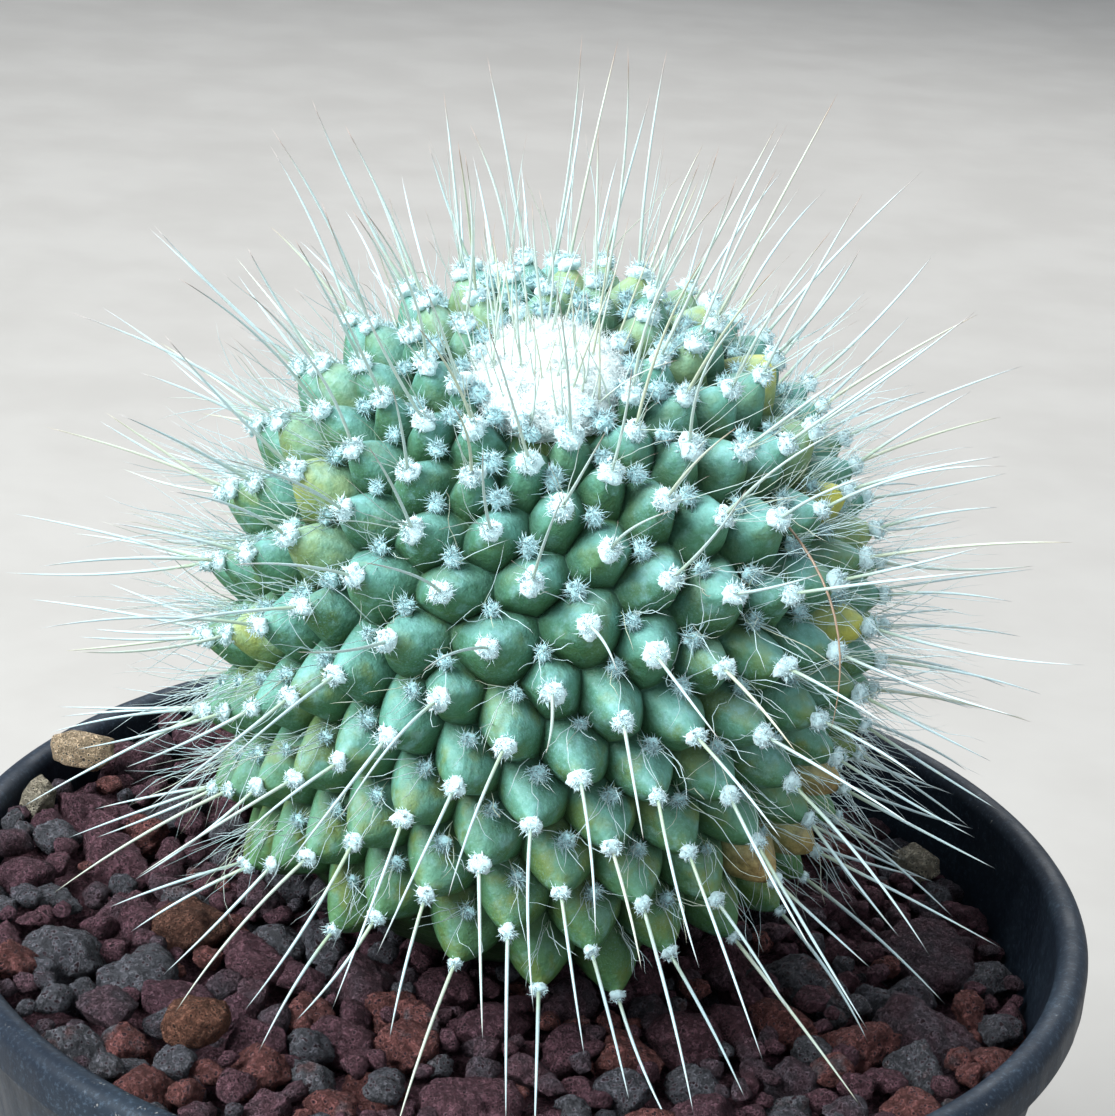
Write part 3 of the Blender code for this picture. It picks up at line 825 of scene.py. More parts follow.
@dataclass(frozen=True)
class StoneFinish:
    """Rough, pitted stone in the tints of a ramp, with painted shade in its pits and in the low parts of its
    lumps.
    """

    name: str
    tints: Stops
    dust: Colour = (0.30, 0.26, 0.28)
    # painted shade: the share of its colour that a shaded spot keeps
    shade_share: float = 0.40
    pit_size: float = 0.00055
    # painted shade: how much of the shaded colour the pits keep
    pit_light: float = 0.5
    shine: float = 0.2
    shift: Noise = Noise(0.0028, 3.0, 0.6, Step(0.3, 0.7, -0.06, 0.06))
    lumps: Noise = Noise(0.0008, 6.0, 0.70)
    lump_depth: float = 1.6
    shaded: Step = Step(0.42, 0.62, 0.75, 0.0)
    pit_depth: float = 0.8
    pit_edge: Step = Step(0.30, 0.42)
    pit_middle: Step = Step(0.16, 0.34)
    grains: Noise = Noise(0.00020, 3.0, 0.7, depth=0.00052)
    dusty: Step = Step(0.56, 0.78, 0.0, 0.6)
    gloss: Step = Step(0.3, 0.7, 0.82, 1.0)

    def material(self) -> Material:
        """Lays out the stone's nodes.

        Returns:
            The material.
        """
        painter = Painter(self.name, specular_ior_level=self.shine)
        lumps, grains = painter.noise(self.lumps), painter.noise(self.grains)
        tint = painter.plus(painter.value("tint"), painter.noise(self.shift))
        pits = painter.noise(Noise(self.pit_size, 2.0, 0.5, self.pit_edge))
        pits = painter.times(pits, painter.step(painter.cells(self.pit_size), self.pit_middle))
        # painted shade: the pits, which the bump also sinks, are darkened
        hollow = tuple(self.pit_light * self.shade_share * part for part in self.tints[0][1])
        colour = painter.ramp(tint, self.tints)
        # painted shade: a darker copy of the tint in the low parts of the lumps, which the bump below sinks
        darker = painter.ramp(tint, self.tints, self.shade_share)
        colour = painter.blend(painter.step(lumps, self.shaded), colour, darker)
        colour = painter.blend(pits, hollow, colour)
        colour = painter.blend(painter.step(grains, self.dusty), colour, self.dust)
        relief = painter.bump(grains, self.grains.depth)
        relief = painter.bump(pits, self.pit_size * self.pit_depth, relief)
        relief = painter.bump(lumps, self.pit_size * self.lump_depth, relief)
        return painter.done(colour, painter.step(grains, self.gloss), relief)


@dataclass(frozen=True)
class PlasticFinish:
    """Satin black moulded plastic with painted blue sheen in cloudy vertical streaks, painted glints, dust
    and fine scuffs.
    """

    base: Colour = (0.008, 0.012, 0.020)
    # painted sheen: the blue-grey colour that stands in for the satin reflection
    painted_sheen: Colour = (0.016, 0.025, 0.037)
    # painted glints: the light-blue spots that stand in for highlights
    painted_glint: Colour = (0.055, 0.080, 0.112)
    dust: Colour = (0.26, 0.25, 0.24)
    shine: float = 0.14
    clouds: Noise = Noise(0.010, 5.0, 0.7)
    cloudy: Step = Step(0.32, 0.74)
    # vertical streaks that carry the painted sheen and vary the roughness
    runs: Noise = Noise(0.004, 4.0, 0.65)
    stretch: Place = (1.0, 1.0, 0.18)
    runny: Step = Step(0.30, 0.74, 0.4, 1.0)
    # where the painted glints lie
    flecks: Noise = Noise(0.0005, 4.0, 0.75, Step(0.50, 0.68, 0.0, 0.60))
    flecked: Step = Step(0.30, 0.70, 0.3, 1.0)
    specks: Noise = Noise(0.0006, 2.0, 0.6, Step(0.66, 0.76, 0.0, 0.8))
    dusty: Noise = Noise(0.012, 2.0, 0.5, Step(0.45, 0.65))
    gloss: Step = Step(0.3, 0.7, 0.42, 0.60)
    dust_gloss: float = 0.3
    grain: Noise = Noise(0.0004, 3.0, 0.6, depth=0.00002)
    waves: Noise = Noise(0.006, 2.0, 0.5, depth=0.00015)

    def material(self) -> Material:
        """Lays out the plastic's nodes.

        Returns:
            The material.
        """
        painter = Painter("black_plastic", specular_ior_level=self.shine)
        clouds = painter.noise(self.clouds)
        runs = painter.noise(self.runs, painter.stretched(self.stretch))
        specks = painter.times(painter.noise(self.specks), painter.noise(self.dusty))
        colour = self.base
        for share, other in (
            # painted sheen in cloudy vertical streaks
            (painter.times(painter.step(clouds, self.cloudy), painter.step(runs, self.runny)), self.painted_sheen),
            # painted glints
            (painter.times(painter.noise(self.flecks), painter.step(clouds, self.flecked)), self.painted_glint),
            (specks, self.dust),
        ):
            colour = painter.blend(share, colour, other)
        roughness = painter.plus(painter.step(runs, self.gloss), painter.times(specks, self.dust_gloss))
        return painter.done(colour, roughness, painter.relief(self.grain, self.waves))


@dataclass(frozen=True)
class FloorFinish:
    """Plain pale matt board."""

    light: Colour = (0.36, 0.34, 0.32)
    shade: Colour = (0.33, 0.31, 0.29)
    shine: float = 0.2
    clouds: Noise = Noise(0.05, 4.0, 0.6)
    cloudy: Step = Step(0.3, 0.7)
    gloss: Step = Step(0.3, 0.7, 0.75, 0.9)

    def material(self) -> Material:
        """Lays out the floor's nodes.

        Returns:
            The material.
        """
        painter = Painter("pale_board", specular_ior_level=self.shine)
        clouds = painter.noise(self.clouds)
        colour = painter.blend(painter.step(clouds, self.cloudy), self.shade, self.light)
        return painter.done(colour, painter.step(clouds, self.gloss))


LAVA_TINTS: Stops = (
    (0.00, (0.185, 0.088, 0.118)),
    (0.18, (0.255, 0.118, 0.148)),
    (0.30, (0.180, 0.114, 0.142)),
    (0.45, (0.180, 0.182, 0.214)),
    (0.58, (0.236, 0.238, 0.266)),
    (0.64, (0.350, 0.134, 0.124)),
    (0.82, (0.315, 0.122, 0.110)),
    (0.90, (0.400, 0.182, 0.100)),
    (1.00, (0.355, 0.150, 0.090)),
)
TAN_TINTS: Stops = ((0.0, (0.34, 0.31, 0.26)), (0.5, (0.58, 0.52, 0.40)), (1.0, (0.95, 0.70, 0.46)))
ORANGE_TINTS: Stops = ((0.0, (0.22, 0.105, 0.078)), (1.0, (0.36, 0.155, 0.100)))


# Stem

@dataclass
class Tubercle:
    """One tubercle: its direction from the stem's centre, its tip and the corners of its base."""

    direction: Vector
    tip: Vector
    normal: Vector
    polar: float
    rim: list[Vector]
    middle: Vector
    axil: Vector
    tone: float
    ripe: float = 0.0
    dry: float = 0.0

    @property
    def age(self) -> float:
        """The share of the way from the crown to the foot."""
        return min(1.0, self.polar / OLDEST_POLAR)


@dataclass
class StemForm:
    """The stem's shape: a leaning egg that carries tubercles on a golden-angle spiral."""

    centre: Vector = field(default_factory=lambda: Vector((0.0010, 0.0, 0.1115)))
    axis: Vector = field(default_factory=lambda: Vector((0.09, -0.14, 1.0)).normalized())
    radius: float = 0.0315
    rise: float = 0.0332
    drop: float = 0.036
    rise_power: float = 2.0
    drop_power: float = 2.8
    crown_lean: float = math.radians(25.5)
    crown_sway: float = -0.025
    dip_depth: float = 0.0016
    dip_spread: float = math.radians(24.0)
    foot_rings: tuple[tuple[float, float, int], ...] = (
        (0.0103, 0.0305, 12), (0.0090, 0.0345, 12), (0.0055, 0.0408, 6)
    )
    foot_depth: float = 0.0425
    foot_reach: float = math.radians(23.5)
    spiral_step: float = -math.pi * GOLDEN_SHARE
    spiral_start: float = math.radians(102.0)
    spiral_samples: int = 2000
    tubercle_area: float = 40e-6
    crowding: float = 0.75
    crowding_spread: float = math.radians(30.0)
    tubercle_height: float = 0.0048
    low_tubercles: float = 0.4
    crown_ring: float = math.radians(11.5)
    crown_sides: int = 16
    crown_sink: float = 0.0022
    first_tubercle: float = math.radians(14.0)
    youngest_share: float = 0.93
    youngest_sink: float = 0.0004
    bed_level: float = 0.0788
    bed_fall: float = 0.085
    lowest_tip: float = 0.0061

    @property
    def crown(self) -> Vector:
        """The unit vector from the stem's centre to its crown."""
        return Vector((self.crown_sway, -math.sin(self.crown_lean), math.cos(self.crown_lean))).normalized()

    @property
    def foot(self) -> Vector:
        """The middle of the stem's foot, seen from above."""
        return (self.centre - self.axis * self.drop).xy

    def half(self, along: float) -> tuple[float, float]:
        """The egg's half height and power on the side of a height."""
        return (self.rise, self.rise_power) if along > 0 else (self.drop, self.drop_power)

    def point(self, direction: Vector, sink: float = 0.0) -> Vector:
        """Finds the place under the tubercle tips in a direction.

        Args:
            direction: A unit vector from the stem's centre.
            sink: How far under the tips the place lies.

        Returns:
            The place.
        """
        along = direction.dot(self.axis)
        across = math.sqrt(max(0.0, 1.0 - along**2))
        half, power = self.half(along)
        span = (across / self.radius) ** power + (abs(along) / half) ** power
        dip = self.dip_depth * math.exp(-((self.crown.angle(direction) / self.dip_spread) ** 2))
        return self.centre + direction * (span ** (-1.0 / power) - dip - sink)

    def normal(self, direction: Vector) -> Vector:
        """Finds the egg's outward normal.

        Args:
            direction: A unit vector from the stem's centre.

        Returns:
            The normal.
        """
        along = direction.dot(self.axis)
        side = direction - self.axis * along
        half, power = self.half(along)
        outward = side.normalized() * (side.length ** (power - 1.0) / self.radius**power)
        upward = self.axis * math.copysign(abs(along) ** (power - 1.0) / half**power, along)
        return (outward + upward).normalized()

    def from_crown(self, polar: float, turn: float) -> Vector:
        """Finds a direction near the crown.

        Args:
            polar: Its angle from the crown.
            turn: Its turn about the crown.

        Returns:
            The direction.
        """
        back = self.crown.cross(Vector((1.0, 0.0, 0.0))).normalized()
        right = back.cross(self.crown)
        across = right * math.cos(turn) + back * math.sin(turn)
        return (self.crown * math.cos(polar) + across * math.sin(polar)).normalized()

    def height(self, polar: float) -> float:
        """The tubercles' height, less round the crown."""
        lowered = self.low_tubercles * math.exp(-((polar / self.crowding_spread) ** 2))
        return self.tubercle_height * (1.0 - lowered)

    def bed_height(self, x: float) -> float:
        """The mean height of the gravel bed, which falls towards +X."""
        return self.bed_level - self.bed_fall * x

    def spiral(self, first: float) -> list[Vector]:
        """Lays out the golden-angle spiral, crowded round the crown.

        Args:
            first: The angle from the crown that it begins at.

        Returns:
            The directions of its sites.
        """
        polar = np.linspace(0.0, math.pi, self.spiral_samples)
        crowding = 1.0 - self.crowding * np.exp(-((polar / self.crowding_spread) ** 2))
        density = math.tau * self.radius**2 * np.sin(polar) / (self.tubercle_area * crowding)
        count = np.concatenate(([0.0], np.cumsum((density[1:] + density[:-1]) / 2 * np.diff(polar))))
        sites = []
        for number in range(int(count[-1])):
            angle = float(np.interp(number + 0.5, count, polar))
            direction = self.from_crown(angle, self.spiral_start + number * self.spiral_step)
            if angle > first and direction.angle(-self.axis) > self.foot_reach:
                sites.append(direction)
        return sites

    def youngest_areoles(self) -> list[tuple[Vector, Vector]]:
        """Finds the areoles that crowd at the edge of the crown's pad.

        Returns:
            Their places and normals.
        """
        young = self.spiral(self.crown_ring * self.youngest_share)
        young = [direction for direction in young if self.crown.angle(direction) <= self.first_tubercle]
        return [(self.point(direction, self.youngest_sink), self.normal(direction)) for direction in young]

    def clears_bed(self, direction: Vector) -> bool:
        """Whether a tubercle here keeps its tip above the stones."""
        tip = self.point(direction)
        return tip.z > self.bed_height(tip.x) + self.lowest_tip

    def plain_sites(self) -> list[Vector]:
        """Lays out the crown's dish and the stem's foot.

        Returns:
            The places.
        """
        turns = [math.tau * k / self.crown_sides for k in range(self.crown_sides)]
        sites = [self.point(self.crown, self.crown_sink)]
        sites += [self.point(self.from_crown(self.crown_ring, turn), self.crown_sink) for turn in turns]
        sites.append(Vector((*self.foot, self.centre.z - self.foot_depth)))
        for radius, depth, sides in self.foot_rings:
            for turn in (math.tau * k / sides for k in range(sides)):
                place = self.foot + Vector((math.cos(turn), math.sin(turn))) * radius
                sites.append(Vector((*place, self.centre.z - depth)))
        return sites


@dataclass
class Cells:
    """The net of the stem's sites, the raised ones first, with a corner in each of its triangles."""

    form: StemForm
    raised: list[Vector]
    plain: list[Vector]
    triangles: list[tuple[int, int, int]] = field(default_factory=list)
    corners: list[Vector] = field(default_factory=list)
    owner: dict[tuple[int, int], int] = field(default_factory=dict)
    start: dict[int, int] = field(default_factory=dict)

    def link(self) -> None:
        """Joins neighbouring sites by triangles, counter-clockwise from outside."""
        form = self.form
        directions = self.raised + [(place - form.centre).normalized() for place in self.plain]
        for number, (a, b, c) in enumerate(hull_triangles(directions)):
            normal = (directions[b] - directions[a]).cross(directions[c] - directions[a])
            a, b, c = (a, b, c) if normal.dot(directions[a]) > 0 else (a, c, b)
            self.triangles.append((a, b, c))
            for first, last in ((a, b), (b, c), (c, a)):
                self.owner[(first, last)] = number
                self.start.setdefault(first, number)
            middle = (directions[a] + directions[b] + directions[c]).normalized()
            self.corners.append(form.point(middle, form.height(form.crown.angle(middle))))

    def is_plain(self, site: int) -> bool:
        """Whether a site carries no tubercle."""
        return site >= len(self.raised)

    def place(self, site: int) -> Vector:
        """The place of a plain site."""
        return self.plain[site - len(self.raised)]

    def round(self, site: int, saddle: float) -> list[tuple[Vector, Vector, float]]:
        """Walks round a raised site.

        Args:
            site: The site's number.
            saddle: The height of a saddle between two tubercles.

        Returns:
            The edges of its cell, each with two corners and its saddle's height.
        """
        edges = []
        number = self.start[site]
        while len(edges) == 0 or number != self.start[site]:
            triangle = self.triangles[number]
            neighbour = triangle[triangle.index(site) - 1]
            after = self.owner[(site, neighbour)]
            lift = 0.0 if self.is_plain(neighbour) else saddle
            edges.append((self.corners[number], self.corners[after], lift))
            number = after
        return edges


@dataclass
class Skin:
    """The stem's surface: rounded tubercles with creases between them."""

    form: StemForm
    edge_steps: int = 5
    rings: int = 10
    ring_crowding: float = 1.15
    last_turn: float = math.radians(86.0)
    saddle: float = 0.0007
    narrowest: float = 0.10
    young_power: float = 1.46
    old_power: float = 1.30
    flattening: float = 2.5
    rounding: float = 0.8
    ripe_spots: Spots = (
        ((0.0270, -0.0087, 0.1283), 1.0), ((0.0297, -0.0122, 0.1171), 0.85),
        ((0.0199, -0.0019, 0.1381), 0.8), ((0.0142, 0.0019, 0.1415), 0.45),
        ((0.0012, 0.0023, 0.1442), 0.45), ((-0.0208, -0.0153, 0.1291), 0.45),
        ((-0.0208, -0.0192, 0.1244), 0.25), ((-0.0263, -0.0156, 0.1136), 0.35),
        ((0.0304, -0.0035, 0.1231), 0.3), ((-0.0231, -0.0077, 0.1310), 0.2),
        ((0.0126, -0.0084, 0.1406), 0.25),
    )
    dry_spots: Spots = (
        ((0.0231, -0.0182, 0.0947), 0.95), ((0.0272, -0.0120, 0.0947), 0.7),
        ((0.0292, -0.0107, 0.1005), 0.85),
    )
    spot_reach: float = 0.0030
    back: float = 0.006
    ripe_at_back: float = 0.06
    back_ripeness: Span = (0.4, 0.9)
    flushed: float = 0.55
    flush_reach: float = math.radians(46.0)
    flush_from: float = -0.012
    flush_ripeness: Span = (0.12, 0.38)
    ripe_fade: float = 0.9
    dry_fade: float = 0.6
    weld: float = 1e-6
    seed: int = 21

    def tubercles(self) -> tuple[list[Tubercle], list[list[Vector]]]:
        """Lays out the cells round the spiral's sites.

        Returns:
            The tubercles, and the plain faces of the crown's dish and the foot.
        """
        form = self.form
        spiral = form.spiral(form.first_tubercle)
        raised = [direction for direction in spiral if form.clears_bed(direction)]
        bare = [direction for direction in spiral if not form.clears_bed(direction)]
        plain = form.plain_sites() + [form.point(direction, form.tubercle_height) for direction in bare]
        cells = Cells(form, raised, plain)
        cells.link()
        rng = random.Random(self.seed)
        made = [self.tubercle(cells, site, rng) for site in range(len(raised))]
        return made, self.plain_faces(cells)

    def plain_faces(self, cells: Cells) -> list[list[Vector]]:
        """Joins the plain sites to each other and to the edges of the tubercles.

        Args:
            cells: The cells.

        Returns:
            The corners of each triangle.
        """
        faces = []
        for (a, b), number in cells.owner.items():
            triangle = cells.triangles[number]
            corner = cells.corners[number]
            if min(triangle) >= len(cells.raised):
                if a == triangle[0]:
                    faces.append([cells.place(site) for site in triangle])
            elif cells.is_plain(a) and cells.is_plain(b):
                faces.append([cells.place(a), cells.place(b), corner])
            elif cells.is_plain(a):
                edge = self.edge(cells.corners[cells.owner[(b, a)]], corner, 0.0)
                faces += [[cells.place(a), p, q] for p, q in zip(edge, edge[1:] + [corner])]
        return faces

    def edge(self, first: Vector, last: Vector, lift: float) -> list[Vector]:
        """Lays points from one corner towards the next.

        Args:
            first: The first corner.
            last: The next one.
            lift: The height of the saddle between them.

        Returns:
            The points.
        """
        points = []
        for share in (k / self.edge_steps for k in range(self.edge_steps)):
            place = first.lerp(last, share)
            outward = (place - self.form.centre).normalized()
            points.append(place + outward * lift * 4.0 * share * (1.0 - share))
        return points

    def tubercle(self, cells: Cells, site: int, rng: random.Random) -> Tubercle:
        """Makes one tubercle from the edges of its cell.

        Args:
            cells: The cells.
            site: The number of its own.
            rng: The random source of its colours.

        Returns:
            The tubercle.
        """
        form = self.form
        direction = cells.raised[site]
        cell = cells.round(site, self.saddle)
        tip = form.point(direction)
        rim = [place for first, last, lift in cell for place in self.edge(first, last, lift)]
        corners = [first for first, _, _ in cell]
        middle = sum(corners, Vector()) / len(corners)
        axil = min(corners, key=lambda place: form.crown.angle(place - form.centre))
        polar = form.crown.angle(direction)
        made = Tubercle(direction, tip, form.normal(direction), polar, rim, middle, axil, rng.random())
        chance = rng.random()
        made.ripe = self.near(tip, self.ripe_spots)
        made.dry = self.near(tip, self.dry_spots)
        if tip.y > self.back and chance < self.ripe_at_back:
            made.ripe = rng.uniform(*self.back_ripeness)
        elif tip.y > self.flush_from and made.polar < self.flush_reach and chance < self.flushed:
            made.ripe = max(made.ripe, rng.uniform(*self.flush_ripeness))
        return made

    def near(self, tip: Vector, spots: Spots) -> float:
        """The strength of the strongest spot near a tip."""
        close = (strength for place, strength in spots if (tip - Vector(place)).length < self.spot_reach)
        return max(close, default=0.0)

    def rings_of(self, tubercle: Tubercle) -> tuple[Rows, Rows]:
        """Shapes one tubercle as rings from its base to its tip.

        Args:
            tubercle: The tubercle.

        Returns:
            The points by ring, and the height share of each ring.
        """
        power = self.young_power + (self.old_power - self.young_power) * tubercle.age
        turn = np.linspace(0.0, 1.0, self.rings) ** self.ring_crowding * self.last_turn
        rise = np.sin(turn) ** (2.0 / power)
        width = np.maximum(np.cos(turn) ** (2.0 / power), self.narrowest)
        normal = np.array(tubercle.normal)
        middle = np.array(tubercle.middle)
        offset = np.array(tubercle.rim) - middle
        level = np.minimum(1.0, rise * self.flattening)[:, None]
        flat = offset[None] - normal * ((offset @ normal)[None] * level)[:, :, None]
        length = np.linalg.norm(flat, axis=2, keepdims=True)
        even = length.mean(axis=1, keepdims=True)
        rounder = self.rounding * rise[:, None, None]
        flat *= (length + (even - length) * rounder) / length
        centres = middle + (np.array(tubercle.tip) - middle) * rise[:, None]
        return centres[:, None] + flat * width[:, None, None], rise

    def build(self, tubercles: list[Tubercle], ground: list[list[Vector]]) -> None:
        """Makes the skin piece.

        Args:
            tubercles: The tubercles.
            ground: The plain faces between them.
        """
        draft = MeshDraft("stem_skin")
        for tubercle in tubercles:
            rings, rise = self.rings_of(tubercle)
            levels, around, _ = rings.shape
            points = np.concatenate([rings.reshape(-1, 3), [np.array(tubercle.tip)]])
            cap = fan((levels - 1) * around, around, len(points) - 1)
            share = np.append(np.repeat(rise, around), 1.0)
            polar = [self.form.crown.angle(Vector(point) - self.form.centre) for point in points]
            draft.add(
                points, [belts(levels, around), cap], rise=share,
                age=np.minimum(1.0, np.array(polar) / OLDEST_POLAR), tone=tubercle.tone * share,
                ripe=tubercle.ripe * share**self.ripe_fade, dry=tubercle.dry * share**self.dry_fade,
            )
        places = np.array([tuple(place) for face in ground for place in face])
        numbers = np.arange(len(places)).reshape(-1, 3)
        draft.add(places, [numbers], rise=0.0, age=1.0, tone=0.0, ripe=0.0, dry=0.0)
        draft.to_piece(SkinFinish().material(), Slot.SKIN, "cactus", weld=self.weld)


@dataclass(frozen=True)
class Hairs:
    """One kind of hair on a tuft, with its lengths as shares of the tuft's radius."""

    count: int
    length: Span
    steps: int
    radius: float


@dataclass
class Wool:
    """The woolly areoles on the tips and the fainter wool in the axils between tubercles."""

    form: StemForm
    youngest_radius: float = 0.00088
    young_radius: float = 0.00122
    old_radius: float = 0.00052
    radius_power: float = 2.4
    radius_spread: Span = (0.88, 1.12)
    youngest_spread: Span = (0.8, 1.15)
    youngest_fullness: float = 0.8
    thinning: float = 0.45
    axil_radius: float = 0.00148
    axil_spread: Span = (0.65, 1.15)
    axil_shrinking: float = 0.35
    axil_lift: float = 0.0023
    axil_lift_spread: Span = (0.8, 1.15)
    axil_last_age: float = 0.80
    axil_fullness: float = 0.62
    axil_looseness: float = 1.42
    axil_light: Colour = (0.50, 0.80, 0.86)
    axil_shade: Colour = (0.25, 0.48, 0.52)
    core_points: int = 92
    core_height: float = 0.72
    core_share: float = 0.84
    # painted shade: the place along a hair that the core's colour is read at, which darkens the core
    core_shade_along: float = 0.35
    squash: Span = (0.85, 1.15)
    lump_waves: int = 5
    lump_pace: float = 2.6
    lump: float = 0.40
    dent: Span = (-0.20, 0.10)
    locks: Hairs = Hairs(9, (0.26, 0.48), 2, 0.000120)
    fuzz: Hairs = Hairs(138, (0.20, 0.44), 2, 0.000034)
    hairs: Hairs = Hairs(8, (0.55, 0.85), 3, 0.000034)
    fewest: int = 4
    upward: float = 0.6
    aside: float = 0.8
    root_share: float = 0.74
    lean: float = 0.35
    curl: float = 0.45
    taper: Span = (1.45, 0.25)
    seed: int = 31

    def __post_init__(self) -> None:
        """Starts the random source and makes the ball that every tuft's core is shaped from."""
        self.rng = np.random.default_rng(self.seed)
        self.ball, self.triangles = sphere_mesh(self.core_points)

    def radius(self, tubercle: Tubercle) -> float:
        """The areole's radius, which shrinks with age, at first slowly."""
        return self.young_radius + (self.old_radius - self.young_radius) * tubercle.age**self.radius_power

    def build(self, tubercles: list[Tubercle]) -> None:
        """Makes the areole tufts and the axil wool.

        Args:
            tubercles: The tubercles that carry them.
        """
        rng = self.rng
        areoles = MeshDraft("areole_wool")
        axils = MeshDraft("axil_wool")
        for tubercle in tubercles:
            radius = self.radius(tubercle) * rng.uniform(*self.radius_spread)
            fullness = 1.0 - self.thinning * tubercle.age
            self.add_tuft(areoles, tubercle.tip, tubercle.normal, radius, fullness)
            if tubercle.age < self.axil_last_age:
                shrunk = 1.0 - self.axil_shrinking * tubercle.age
                radius = self.axil_radius * rng.uniform(*self.axil_spread) * shrunk
                lift = self.axil_lift * rng.uniform(*self.axil_lift_spread)
                place = np.array(tubercle.axil) + np.array(tubercle.direction) * lift
                fullness = self.axil_fullness
                self.add_tuft(axils, place, tubercle.direction, radius, fullness, self.axil_looseness)
        for place, normal in self.form.youngest_areoles():
            radius = self.youngest_radius * rng.uniform(*self.youngest_spread)
            self.add_tuft(areoles, place, normal, radius, self.youngest_fullness)
        areoles.to_piece(WoolFinish().material(), Slot.WOOL, "cactus")
        finish = WoolFinish("axil_wool", light=self.axil_light, shade=self.axil_shade)
        axils.to_piece(finish.material(), Slot.WOOL, "cactus")

    def add_tuft(
        self, draft: MeshDraft, place: Vector | Rows, normal: Vector, radius: float, fullness: float,
        looseness: float = 1.0,
    ) -> None:
        """Adds one tuft: a lumpy core, the dense fuzz on it and a few longer hairs.

        Args:
            draft: The piece that gets it.
            place: The tuft's middle.
            normal: The direction that it faces.
            radius: Its radius.
            fullness: The share of the fuzz and hairs that it has.
            looseness: How far the hairs reach, where 1 is a dense tuft.
        """
        rng, place, facing = self.rng, np.array(place), np.array([normal])
        side, across = frames_across(facing)
        squash = rng.uniform(*self.squash)
        frame = np.concatenate([side * squash, across / squash, facing * self.core_height])
        lumps = 1.0 + self.lump * ripples(rng, self.ball, self.lump_waves, self.lump_pace)[:, None]
        lumps += rng.uniform(*self.dent, (len(self.ball), 1))
        core = place + (self.ball * lumps) @ frame * radius * self.core_share / looseness
        # the core gets painted shade through its low place along
        draft.add(core, [self.triangles], along=self.core_shade_along)
        for kind in (self.locks, self.fuzz, self.hairs):
            thick = kind.radius
            if kind is self.locks:
                thick = kind.radius * radius / self.young_radius / looseness**2
            count = max(self.fewest, round(kind.count * fullness))
            upward = np.abs(rng.normal(size=(count, 1))) * facing * self.upward
            towards = unit(upward + rng.normal(size=(count, 3)) @ frame * self.aside)
            roots = place + towards * radius * self.root_share / looseness
            lengths = radius * looseness * rng.uniform(*kind.length, count)
            leaning = unit(towards + self.lean * rng.normal(size=towards.shape))
            paths = Sprouts(rng, roots, leaning, lengths).curly(kind.steps, self.curl * looseness)
            radii = np.tile(np.linspace(*self.taper, kind.steps) * thick, (count, 1))
            add_strands(draft, paths, radii, HAIR_SIDES)


